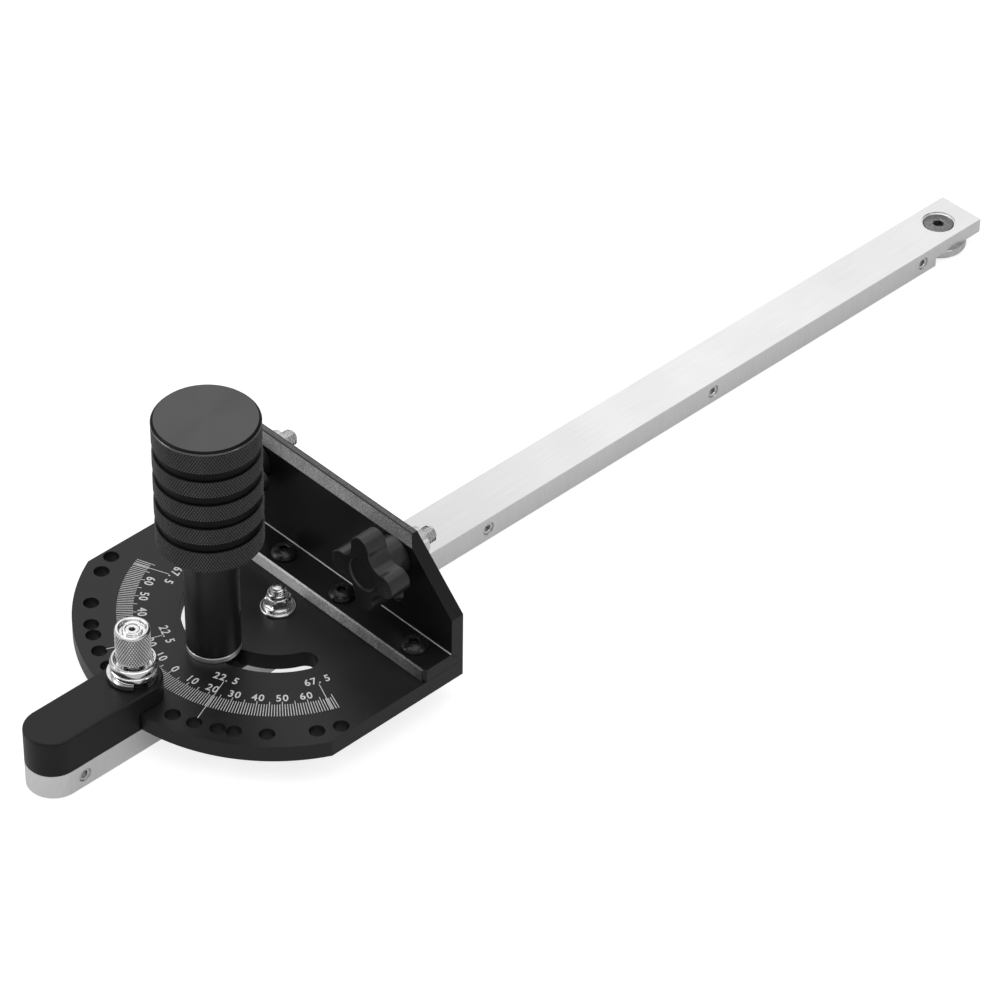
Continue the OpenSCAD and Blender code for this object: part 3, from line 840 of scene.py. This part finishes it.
# %% Geometry Nodes helpers
def new_tree(name, inputs):
    """Inputs are {label: (kind, value)}; returns the tree and its inputs by label."""
    tree = bpy.data.node_groups.new(name, "GeometryNodeTree")
    tree.interface.new_socket("Mesh", in_out="OUTPUT", socket_type="NodeSocketGeometry")
    for label, (kind, value) in {"Places": ("Geometry", None), **inputs}.items():
        item = tree.interface.new_socket(label, in_out="INPUT", socket_type="NodeSocket" + kind)
        if value is not None:
            item.default_value = value
    sockets = add_node(tree, "NodeGroupInput").outputs
    return tree, {socket.name: Sum(tree, socket) for socket in sockets if socket.name}


def on_places(tree, given, part, rotation=(0, 0, 0)):
    feeds = {"Points": given["Places"], "Instance": part, "Rotation": rotation}
    copies = add_node(tree, "GeometryNodeInstanceOnPoints", feeds)
    real = add_node(tree, "GeometryNodeRealizeInstances", {0: copies})
    feeds = {"Geometry": real, "Material": given["Finish"]}
    add_node(tree, "NodeGroupOutput", {0: add_node(tree, "GeometryNodeSetMaterial", feeds)})


def grow(tree, settings, points):
    places = bpy.data.meshes.new("places")
    places.from_pydata([[c * MM for c in point] for point in points], [], [])
    holder = link_new(tree.name, places)
    modifier = holder.modifiers.new(tree.name, "NODES")
    modifier.node_group = tree
    for item in tree.interface.items_tree:
        if item.in_out == "INPUT" and item.name in settings:
            modifier[item.identifier] = settings[item.name]
    mesh = flatten(holder)
    print(tree.name, "grew", len(mesh.polygons), "faces")
    return mesh


# %% [markdown]
# ## The degree scale
# The lines are laser-marked on the plate: one for every degree from seventy to seventy on both
# sides, longer ones at every fifth, and four long ones at the half-degree stops. One tree makes a
# row of lines on a circle. Its run length says after how many lines one is left out, so the single
# degrees skip the fives. Each line is a very flat block, so it has a true edge and two sides.


# %% Line tree
def line_tree():
    inputs = {
        "Inner Radius": ("Float", 0.05),
        "Outer Radius": ("Float", 0.054),
        "Line Width": ("Float", 0.0002),
        "Thickness": ("Float", 0.00003),
        "Angle Before": ("Float", -70.0),
        "Step": ("Float", 1.0),
        "Run": ("Float", 4.0),
        "Count": ("Int", 10),
        "Finish": ("Material", None),
    }
    tree, given = new_tree("scale_lines", inputs)
    index = Sum(tree, add_node(tree, "GeometryNodeInputIndex"))
    left_out = (index / given["Run"]).math("FLOOR")
    degrees = (index + left_out + 1) * given["Step"] + given["Angle Before"]
    turn = vector(tree, 0, 0, (degrees - 90).math("RADIANS"))
    spots = add_node(tree, "GeometryNodePoints", {"Count": given["Count"]})
    inner, outer = given["Inner Radius"], given["Outer Radius"]
    size = vector(tree, outer - inner, given["Line Width"], given["Thickness"])
    block = add_node(tree, "GeometryNodeMeshCube", {"Size": size})
    feeds = {"Geometry": block, "Translation": vector(tree, (outer + inner) * 0.5, 0, 0)}
    line = add_node(tree, "GeometryNodeTransform", feeds)
    feeds = {"Points": spots, "Instance": line, "Rotation": turn}
    on_places(tree, given, add_node(tree, "GeometryNodeInstanceOnPoints", feeds))
    return tree


scale_lines = line_tree()
print("scale_lines:", len(scale_lines.nodes), "nodes")

# %% [markdown]
# ## Marking the lines
# Each row below is a run of single lines, the angle one step before its first line, the step, the
# number of lines and their inner and outer radius. A row that leaves no line out has a run longer
# than itself. The zero is at the front, over the bar.

# %% Grow the lines
LINE_OUT, LINE_IN, FIFTH_IN, STOP_IN, STOP_OUT = 54.15, 48.5, 47.15, 40.9, 60.3
LINE_WIDTH, LINE_HEIGHT, LINE_SUNK = 0.24, 0.04, 0.01
UNBROKEN = 1000.0
line_rows = [
    (4.0, -70.0, 1.0, 112, LINE_IN, LINE_OUT),
    (UNBROKEN, -75.0, 5.0, 29, FIFTH_IN, LINE_OUT),
    (UNBROKEN, -67.5, 45.0, 2, STOP_IN, STOP_OUT),
    (UNBROKEN, -202.5, 135.0, 2, STOP_IN, LINE_OUT),
]
line_meshes = []
for run, before, step, count, inner, outer in line_rows:
    settings = {
        "Inner Radius": inner * MM,
        "Outer Radius": outer * MM,
        "Line Width": LINE_WIDTH * MM,
        "Thickness": LINE_HEIGHT * MM,
        "Angle Before": before,
        "Step": step,
        "Run": run,
        "Count": count,
        "Finish": paint_finish,
    }
    line_meshes.append(grow(scale_lines, settings, [(0, 0, PLATE_TOP + LINE_SUNK)]))
add_piece("degree_lines", line_meshes, paint_finish, "head")

# %% [markdown]
# ## The figures
# The figures stand on the inside of the lines, each in a cell of its own, as an engraving machine
# sets them, with their feet towards the rim. A text object gives the outline of one figure. It is
# made a mesh, welded, brought to size and only then laid in its place.

# %% Draw one figure
CELL, FIGURE_H, FIGURE_W, FIGURE_DEEP, FIGURE_SUNK, POINT_BACK = 2.3, 3.2, 1.85, 0.04, 0.01, 0.55
figure_cache = {}


def figure(sign):
    """The points and faces of one figure, as the text object draws them."""
    if sign not in figure_cache:
        text = bpy.data.curves.new("figure", "FONT")
        text.body = sign
        text.size = 1.0
        text.resolution_u = 4
        text.offset = 0.016
        text.extrude = 0.5
        work = bmesh.new()
        work.from_mesh(flatten(link_new("figure", text)))
        bmesh.ops.remove_doubles(work, verts=work.verts, dist=1e-4)
        bmesh.ops.recalc_face_normals(work, faces=work.faces)
        faces = [[v.index for v in f.verts] for f in work.faces]
        figure_cache[sign] = [tuple(v.co) for v in work.verts], faces
        work.free()
    return figure_cache[sign]


zero_x, zero_y, _ = zip(*figure("0")[0])
wide, tall, foot = max(zero_x) - min(zero_x), max(zero_y) - min(zero_y), min(zero_y)
print("a nought is %.3f wide and %.3f tall as drawn" % (wide, tall))


# %% Set the figures round the scale
def set_label(label, foot_radius, degrees, points_out, faces_out):
    angle = math.radians(degrees)
    up_way = Vector((-math.sin(angle), math.cos(angle), 0))
    right_way = Vector((math.cos(angle), math.sin(angle), 0))
    origin = up_way * -foot_radius + Vector((0, 0, PLATE_TOP + FIGURE_DEEP / 2 - FIGURE_SUNK))
    for place, sign in enumerate(label):
        points, faces = figure(sign)
        centre = (max(p[0] for p in points) + min(p[0] for p in points)) / 2
        offset = (place - (len(label) - 1) / 2) * CELL - (POINT_BACK if sign == "." else 0)
        start = len(points_out)
        for x, y, z in points:
            across = right_way * ((x - centre) * FIGURE_W / wide + offset)
            along = up_way * ((y - foot) * FIGURE_H / tall)
            points_out.append((origin + across + along + Vector((0, 0, z * FIGURE_DEEP))) * MM)
        faces_out.extend([[start + i for i in face] for face in faces])


RING_FOOT, STOP_FOOT = 47.0, 40.7
points, faces = [], []
for tens in range(0, 70, 10):
    for side in (-1, 1) if tens else (1,):
        set_label(str(tens), RING_FOOT, side * tens, points, faces)
for side in (-1, 1):
    set_label("22.5", STOP_FOOT, side * 22.5, points, faces)
    set_label("67.5", STOP_FOOT, side * 67.5, points, faces)
figures = bpy.data.meshes.new("scale_numbers")
figures.from_pydata(points, [], faces)
add_piece("scale_numbers", [figures], paint_finish, "head")

# %% [markdown]
# ## Bending a grid
# Knurling and coils both start from a flat grid. `numbered_grid` gives the grid with the number of
# each vertex's column and row, and `bent` moves each vertex to its radius, angle and height and
# welds the ones that meet, so the skin closes.


# %% Grid helpers
def numbered_grid(tree, columns, rows):
    feeds = {"Size X": 1, "Size Y": 1, "Vertices X": columns + 1, "Vertices Y": rows + 1}
    grid = add_node(tree, "GeometryNodeMeshGrid", feeds)
    x, y, _ = parts_of(tree, add_node(tree, "GeometryNodeInputPosition"))
    return grid, ((x + 0.5) * columns).math("ROUND"), ((y + 0.5) * rows).math("ROUND")


def bent(tree, grid, reach, angle, height):
    target = vector(tree, reach * angle.math("COSINE"), reach * angle.math("SINE"), height)
    moved = add_node(tree, "GeometryNodeSetPosition", {"Geometry": grid, "Position": target})
    return add_node(tree, "GeometryNodeMergeByDistance", {"Geometry": moved, "Distance": 0.000002})


# %% [markdown]
# ## Knurling
# A knurling tool presses two crossing sets of grooves into a turned cylinder and leaves little
# four-sided points. Every crossing of the grid is bent round the axis, and every second one, as on
# a chessboard, is pressed in by the knurl's depth; the shorter diagonal of each cell then joins two
# low points and becomes the bottom of a groove. Three more rows of the grid turn in at the ends and
# close the sleeve inside the solid core.


# %% Knurling tree
def knurl_tree():
    inputs = {
        "Radius": ("Float", 0.018),
        "Core Radius": ("Float", 0.017),
        "Depth": ("Float", 0.0003),
        "Teeth": ("Int", 100),
        "Rows": ("Int", 10),
        "Row Height": ("Float", 0.0005),
        "Finish": ("Material", None),
    }
    tree, given = new_tree("knurled_sleeve", inputs)
    core, rows = given["Core Radius"], given["Rows"]
    columns = given["Teeth"] * 2
    grid, column, row = numbered_grid(tree, columns, rows + 3)
    outside = (row > 0.5) * (row < rows + 1.5)
    pressed = (column + row) % 2
    skin = given["Radius"] - pressed * given["Depth"]
    reach = (skin - core) * outside + core
    level = (row - 1).at_least(0).at_most(rows) * (row < rows + 2.5)
    angle = column * (2 * math.pi) / columns
    sleeve = bent(tree, grid, reach, angle, level * given["Row Height"])
    split = add_node(tree, "GeometryNodeTriangulate", {0: sleeve}, quad_method="SHORTEST_DIAGONAL")
    on_places(tree, given, split)
    return tree


knurled_sleeve = knurl_tree()
print("knurled_sleeve:", len(knurled_sleeve.nodes), "nodes")

# %% [markdown]
# ## The grip's bands
# The handle's grip is a turned black bar with five knurled bands and four smooth grooves. The
# bands are five sleeves in two heights: the two end bands are taller, and the top one is shortened
# by the chamfer.

# %% Press the grip's knurling
BAND_END, BAND_MID, GROOVE, GROOVE_DEPTH, CHAMFER = 8.7, 6.1, 3.75, 1.0, 0.9
GRIP_TEETH, ROW_HEIGHT = 114, 0.87
(_, _, grip_z0), (_, _, grip_z1) = span("handle_grip")
core_r = GRIP_R - GROOVE_DEPTH
MID_STEP = BAND_MID + GROOVE
bands = [
    (grip_z0 + 0.85, BAND_END - 0.85, [0]),
    (grip_z0 + BAND_END + GROOVE, BAND_MID, [0, MID_STEP, 2 * MID_STEP]),
    (grip_z1 - BAND_END, BAND_END - CHAMFER - 0.4, [0]),
]
sleeves = []
for low, height, rises in bands:
    rows = round(height / ROW_HEIGHT)
    settings = {
        "Radius": GRIP_R * MM,
        "Core Radius": (core_r - 0.4) * MM,
        "Depth": GRIP_CUT * MM,
        "Teeth": GRIP_TEETH,
        "Rows": rows,
        "Row Height": height / rows * MM,
        "Finish": grip_knurl_finish,
    }
    sleeves.append(faceted(grow(knurled_sleeve, settings, [(*GRIP_AXIS, low + rise) for rise in rises])))
add_piece("grip_knurling", sleeves, grip_knurl_finish, "handle")

# %% [markdown]
# ## The grip's core, rim and top
# The core is one lathe profile with a bore for the stud; where it shows, in the grooves and
# chamfers, it is darker and less glossy than the grip, as painted shade. A rubbed, brighter rim
# runs round the top chamfer, and the top face has a finish of its own, because its turned rings
# fan the light out.

# %% Turn the grip
stud_bore, bore_top = 3.03, span("handle_stud")[1][2] + 0.1
rim_base = grip_z1 - CHAMFER
face_r = GRIP_R - CHAMFER
grip_core = turned(
    "grip_core",
    [
        (0, bore_top),
        (stud_bore, bore_top),
        (stud_bore, grip_z0),
        *near(GRIP_R, grip_z0, (-1.0, 0), (-0.25, 0.75), (-0.25, 0.95)),
        (core_r, grip_z0 + 1.1),
        (core_r, rim_base - 0.6),
        *near(GRIP_R, rim_base, (-0.2, -0.4), (-0.2, 0.16)),
        *near(face_r, grip_z1, (0.08, -0.08), (-0.08, 0)),
    ],
    steps=128,
    centre=GRIP_AXIS,
    smooth=30,
)
grip_face = turned(
    "grip_face",
    [(0, grip_z1 - 0.6), *near(face_r, grip_z1, (-0.3, -0.6), (-0.08, 0)), (0, grip_z1)],
    steps=128,
    centre=GRIP_AXIS,
    smooth=30,
)
rim_profile = [
    *near(GRIP_R, rim_base, (-0.5, -0.4), (-0.05, -0.45), (0, -0.36), (0, -0.2), (-0.03, -0.08)),
    *near(GRIP_R, rim_base, (-0.1, 0.02), (-0.2, 0.13), (-0.5, 0.2), (-0.5, -0.4)),
]
grip_rim = turned("grip_rim", rim_profile, steps=128, centre=GRIP_AXIS, smooth=40)
add_piece("grip_rim", [grip_rim], grip_rim_finish, "handle")
add_piece("grip_top_face", grip_face, grip_top_finish, "handle")
add_piece("handle_grip_core", grip_core, groove_shade_finish, "handle", ["handle_grip"])

# %% [markdown]
# ## The plunger's collar and barrel
# The collar is bright and has two rounded bands with a groove between them. Its top is dished, and
# the knob drops into the dish when the pin is let go. The barrel under it is screwed into the block.
# All of it is round about one axis, so one profile says everything.

# %% Turn the plunger's housing
(_, _, knob_z0), (_, _, knob_z1) = span("plunger_knob")
(_, _, barrel_low), (_, _, collar_top) = span("plunger_housing")
(_, _, split_low), (_, _, collar_base) = span("plunger_lock_washer")
pin_r, collar_r, barrel_r, dish_r = half_width("plunger_pin"), half_width("plunger_housing"), 5.0, 6.3
pin_bore, dish_floor = pin_r + 0.15, knob_z0 - 3.3
housing = turned(
    "plunger_housing_turned",
    [
        (pin_bore, dish_floor),
        (pin_bore, barrel_low),
        *near(barrel_r, barrel_low, (-0.6, 0), (0, 0.6)),
        (barrel_r, collar_base),
        *near(collar_r, collar_base, (-0.5, 0), (-0.1, 0.3), (0, 0.6), (0, 1.75), (-0.15, 1.95)),
        *near(collar_r, collar_base, (-0.5, 2.15), (-0.5, 2.5), (-0.1, 2.7), (0, 2.95)),
        *near(collar_r, collar_top, (0, -0.9), (-0.2, -0.5), (-0.55, -0.3), (-0.6, -0.05), (-0.7, 0)),
        *near(dish_r, collar_top, (0.65, 0), (0.5, -0.1), (0, -0.9)),
        (dish_r, dish_floor),
        (pin_bore, dish_floor),
    ],
    centre=PLUNGER_AXIS,
    smooth=30,
)
add_piece(
    "plunger_housing_turned", [housing], plunger_finish, "guide_bar", ["plunger_housing"]
)

# %% [markdown]
# ## The plunger's knob and pin
# The knob is bright and finely knurled, with a wide rim round a sunk top. The head of the index
# pin stands in the middle of it with a small centre hole from the lathe.

# %% Turn the plunger's knob
knob_body = turned(
    "plunger_knob_body",
    [
        (0, knob_z0),
        *near(PLUNGER_R, knob_z0, (-0.6, 0), (-0.15, 0.45), (-0.15, 0.7), (-0.5, 0.8)),
        *near(PLUNGER_R, knob_z1, (-0.5, -1.1), (-0.15, -0.95), (-0.12, -0.55), (-0.3, -0.12)),
        *near(PLUNGER_R, knob_z1, (-0.55, 0), (-1.15, -0.04), (-1.35, -0.2), (-1.6, -1.1), (-1.75, -1.2)),
        *near(pin_r, knob_z1, (1.1, -1.2), (1.0, -1.1), (1.0, -0.6), (0.75, -0.35), (0.2, -0.35)),
        *near(pin_r, knob_z1, (0.1, -0.5), (0.1, -1.8)),
        (0, knob_z1 - 1.8),
    ],
    centre=PLUNGER_AXIS,
    smooth=30,
)
KNOB_TEETH, KNOB_ROWS = 38, 13
knurl_low, knurl_top = knob_z0 + 0.6, knob_z1 - 0.9
settings = {
    "Radius": PLUNGER_R * MM,
    "Core Radius": (PLUNGER_R - 0.7) * MM,
    "Depth": PLUNGER_CUT * MM,
    "Teeth": KNOB_TEETH,
    "Rows": KNOB_ROWS,
    "Row Height": (knurl_top - knurl_low) / KNOB_ROWS * MM,
    "Finish": plunger_knurl_finish,
}
knob_knurl = faceted(grow(knurled_sleeve, settings, [(*PLUNGER_AXIS, knurl_low)]))
add_piece("plunger_knob_knurling", knob_knurl, plunger_knurl_finish, "plunger")
add_piece("plunger_knob_turned", knob_body, plunger_finish, "plunger", ["plunger_knob"])

# %% Turn the index pin
(_, _, pin_low), (_, _, pin_top) = span("plunger_pin")
pin_body = turned(
    "index_pin",
    [
        (0, pin_low),
        *near(pin_r, pin_low, (-0.8, 0), (0, 0.8)),
        *near(pin_r, pin_top, (0, -0.25), (-0.25, 0)),
        *near(0, pin_top, (1.2, 0), (1.05, -0.12), (0.85, -0.9), (0, -1.0)),
    ],
    steps=64,
    centre=PLUNGER_AXIS,
    smooth=30,
)
add_piece("index_pin_turned", pin_body, pin_finish, "plunger", ["plunger_pin"])

# %% [markdown]
# ## Coils
# A thread is a wedge that climbs round a core, and a spring washer is one turn of a square wire.
# One tree makes both. Its grid has a row for each corner of the section and a column for each step
# along the coil, and the first and last columns close on the section's middle as flat ends.


# %% Coil tree
def coil_tree():
    inputs = {
        "Core Radius": ("Float", 0.0025),
        "Section Depth": ("Float", 0.0005),
        "Base Width": ("Float", 0.0008),
        "Crest Width": ("Float", 0.0002),
        "Steps Per Turn": ("Int", 24),
        "Steps": ("Int", 240),
        "Rise Per Turn": ("Float", 0.001),
        "First Angle": ("Float", 0.0),
        "Finish": ("Material", None),
    }
    tree, given = new_tree("coil", inputs)
    steps, corners = given["Steps"], 4
    grid, column, row = numbered_grid(tree, steps + 2, corners)
    spot = row % corners
    turns = (column - 1).at_least(0).at_most(steps) / given["Steps Per Turn"]
    angle = turns * (2 * math.pi) + given["First Angle"]
    is_open = (column > 0.5) * (column < steps + 1.5)
    crest = (spot > 0.5) * (spot < 2.5)
    reach = ((crest - 0.5) * is_open + 0.5) * given["Section Depth"] + given["Core Radius"]
    width = crest * (given["Crest Width"] - given["Base Width"]) + given["Base Width"]
    thick = width * ((spot > 1.5) - 0.5) * is_open
    on_places(tree, given, bent(tree, grid, reach, angle, turns * given["Rise Per Turn"] + thick))
    return tree


coil = coil_tree()
print("coil:", len(coil.nodes), "nodes")

# %% [markdown]
# ## Threads
# Only thread that shows is worth its triangles: the pivot's end above its nut, and the two fence
# studs. Each rod is a core as thick as the thread's root, with the thread's wedge wound round it.
# A bump in the material would leave the rod's outline smooth, and here the outline shows.


# %% Cut the threads
def threaded_rod(name, radius, pitch, low, high, thread_low, tip=0.5):
    """An upright rod from `low` to `high`; its thread starts at `thread_low`."""
    DEPTH, BASE, CREST, RUN_OUT = 0.54, 0.92, 0.2, 0.2  # shares of the pitch
    STEPS_PER_TURN, SUNK = 24, 0.1
    depth = DEPTH * pitch
    root = radius - depth
    profile = [(0, low), (root, low), (root, high - tip)]
    profile += [*near(root, high, (-0.2, -0.12), (-0.45, 0)), (0, high)]
    length = high - tip - RUN_OUT * pitch - thread_low
    settings = {
        "Core Radius": (root - SUNK) * MM,
        "Section Depth": (depth + SUNK) * MM,
        "Base Width": BASE * pitch * MM,
        "Crest Width": CREST * pitch * MM,
        "Steps Per Turn": STEPS_PER_TURN,
        "Steps": int(length / pitch * STEPS_PER_TURN),
        "Rise Per Turn": pitch * MM,
        "Finish": thread_finish,
    }
    wedge = grow(coil, settings, [(0, 0, thread_low)])
    smooth_by_angle(wedge, 30)
    return joined(name, turned(name + "_core", profile, steps=48), wedge)


(_, _, stud_low), (_, _, stud_high) = span("pivot_stud")
rod = threaded_rod(
    "pivot_stud_threaded", half_width("pivot_stud"), 0.8, stud_low, stud_high, PLATE_TOP + 0.6
)
add_piece(rod.name, rod, thread_finish, "guide_bar", ["pivot_stud"])
for side in ("left", "right"):
    node = "fence_stud_" + side
    x, _, z = middle(node)
    low = span(node)[0][1]
    high = max(span(node)[1][1], span("fence_nut_" + side)[1][1])
    rod = threaded_rod(node + "_threaded", half_width(node), 1.0, low, high, low + 1)
    add_piece(rod.name, lying(rod, x, 0, z), thread_finish, side + "_knob", [node])

# %% [markdown]
# ## The spring washer
# The lock washer under the collar is one turn of flat steel wire, cut through, with one end
# standing a little higher than the other. The cut shows at the front. The washer is loose round
# the barrel, so it lies a little to the left and to the front. A ring with a gap would be flat, so
# it is one turn of the coil tree, with a crest nearly as wide as its base.

# %% Wind the spring washer
WIRE_RISE, WIRE_STEPS, WIRE_BORE, SLACK = 0.8, 120, 5.6, 0.7
CUT_DEGREES, CUT_WIDTH = -20.0, 36.0
wire_thick = collar_base - split_low - WIRE_RISE
settings = {
    "Core Radius": WIRE_BORE * MM,
    "Section Depth": (half_width("plunger_lock_washer") - SLACK - WIRE_BORE) * MM,
    "Base Width": wire_thick * MM,
    "Crest Width": (wire_thick - 0.3) * MM,
    "Steps Per Turn": int(WIRE_STEPS * 360 / (360 - CUT_WIDTH)),
    "Steps": WIRE_STEPS,
    "Rise Per Turn": WIRE_RISE * MM,
    "First Angle": math.radians(CUT_DEGREES + CUT_WIDTH / 2),
    "Finish": zinc_finish,
}
washer_place = (-0.72 * SLACK, PLUNGER_AXIS[1] - 0.7 * SLACK, split_low + wire_thick / 2)
washer = grow(coil, settings, [washer_place])
smooth_by_angle(washer, 30)
add_piece("spring_washer", [washer], zinc_finish, "guide_bar", ["plunger_lock_washer"])

# %% [markdown]
# ## Screws
# Four button-head screws hold the bracket, and four set screws stand in the bar's side. Both are
# turned once, with a hexagon broached into them, and a tree puts a copy on each place. No two are
# tightened to the same point, so each copy gets a turn of its own from a fixed seed.


# %% Screw tree
def screw_tree():
    inputs = {
        "Screw": ("Object", None),
        "Facing": ("Vector", (0.0, 0.0, 0.0)),
        "Seed": ("Int", 1),
        "Finish": ("Material", None),
    }
    tree, given = new_tree("screws", inputs)
    MAX_FLOAT, OUT_FLOAT = 3, 1  # by number, because each kind of number has a socket of that name
    feeds = {MAX_FLOAT: math.radians(60), "Seed": given["Seed"]}
    chance = add_node(tree, "FunctionNodeRandomValue", feeds, data_type="FLOAT")
    spin = vector(tree, 0, 0, chance.outputs[OUT_FLOAT])
    turn = add_node(tree, "FunctionNodeEulerToRotation", {0: spin})
    way = add_node(tree, "FunctionNodeEulerToRotation", {0: given["Facing"]})
    both = add_node(tree, "FunctionNodeRotateRotation", {0: way, 1: turn}, rotation_space="LOCAL")
    screw = add_node(tree, "GeometryNodeObjectInfo", {"Object": given["Screw"]})
    on_places(tree, given, screw.outputs["Geometry"], both)
    return tree


def grow_screws(name, mesh, finish, points, way, seed):
    pattern = link_new(name + "_pattern", mesh)
    settings = {"Screw": pattern, "Facing": way, "Seed": seed, "Finish": finish}
    grown = grow(screws_tree, settings, points)
    bpy.data.objects.remove(pattern)
    smooth_by_angle(grown, 32)
    return grown


screws_tree = screw_tree()
print("screws:", len(screws_tree.nodes), "nodes")

# %% Screw down the bracket
HEAD_R, HEAD_HEX, HEAD_EDGE, DOME_END, SHANK_R, INNER_X = 4.7, 1.5, 0.4, 66, 2.5, 14.4
head_low, head_high = span("bracket_screws")
head_xs = (head_low[0] + HEAD_R, -INNER_X, INNER_X, head_high[0] - HEAD_R)
head_places = [(x, middle("bracket_screws")[1], FLANGE_TOP) for x in head_xs]
dome_rise = SCREW_HEAD_H - HEAD_EDGE
dome = []
for degrees in range(4, DOME_END + 1, 6):
    lift = dome_rise * math.sin(math.radians(degrees)) / math.sin(math.radians(DOME_END))
    dome.append((HEAD_R * math.cos(math.radians(degrees)), HEAD_EDGE + lift))
button = turned(
    "button_head",
    [
        (0, head_low[2] - FLANGE_TOP),
        *near(SHANK_R, head_low[2] - FLANGE_TOP, (-0.4, 0), (0, 0.4)),
        (SHANK_R, 0),
        *near(HEAD_R, 0, (-0.15, 0), (0, 0.15), (0, HEAD_EDGE)),
        *dome,
        *near(HEAD_HEX, SCREW_HEAD_H, (0.1, 0, "hex"), (0, -0.1, "hex")),
        (HEAD_HEX, 1.0, "hex"),
        (0, 0.6),
    ],
    steps=48,
)
buttons = grow_screws("bracket_button_screws", button, oxide_finish, head_places, (0, 0, 0), 5)
add_piece("bracket_button_screws", [buttons], oxide_finish, "head", ["bracket_screws"])

# %% Set the screws in the bar's side
SET_R, SET_LEN, SET_HEX, SET_GAP = 2.5, 5.5, 1.25, 111.2
set_low, set_high = span("bar_set_screws")
last = set_high[1] - SET_R
set_ys = [set_low[1] + SET_R, last - 2 * SET_GAP, last - SET_GAP, last]
set_places = [(set_low[0], y, middle("bar_set_screws")[2]) for y in set_ys]
grub = turned(
    "set_screw",
    [
        (0, 0),
        *near(SET_R, 0, (-0.6, 0), (0, 0.6)),
        *near(SET_R, SET_LEN, (0, -0.35), (-0.35, 0)),
        *near(SET_HEX, SET_LEN, (0.15, 0, "hex"), (0, -0.15, "hex"), (0, -2.3, "hex")),
        (0, SET_LEN - 2.9),
    ],
    steps=48,
)
to_the_right = (0, math.radians(90), 0)
grubs = grow_screws("bar_side_screws", grub, zinc_finish, set_places, to_the_right, 3)
add_piece("bar_side_screws", [grubs], zinc_finish, "guide_bar", ["bar_set_screws"])

# %% [markdown]
# ## The screw at the far end
# A dark countersunk screw with a deep hexagon holds the slot disc. Its head is a cone as steep as
# the countersink, so it comes straight from the lathe.

# %% Turn the countersunk screw
flat_r, flat_z = half_width("slot_washer_screw"), span("slot_washer_screw")[0][2]
flat_top = span("slot_washer_screw")[1][2]
FLAT_SHANK, FLAT_HEX = 3.0, 1.8
countersunk = turned(
    "countersunk_screw",
    [
        (0, flat_z),
        *near(FLAT_SHANK, flat_z, (-0.4, 0), (0, 0.4)),
        (FLAT_SHANK, flat_top - flat_r + FLAT_SHANK),
        *near(flat_r, flat_top, (-0.1, -0.12), (-0.1, -0.08), (-0.25, 0)),
        *near(FLAT_HEX, flat_top, (0.2, 0, "hex"), (0, -0.2, "hex"), (0, -2.5, "hex")),
        (0, flat_top - 3.0),
    ],
    steps=72,
    centre=middle("slot_washer_screw")[:2],
)
add_piece(
    "slot_disc_screw", countersunk, dark_finish, "guide_bar", ["slot_washer_screw"]
)
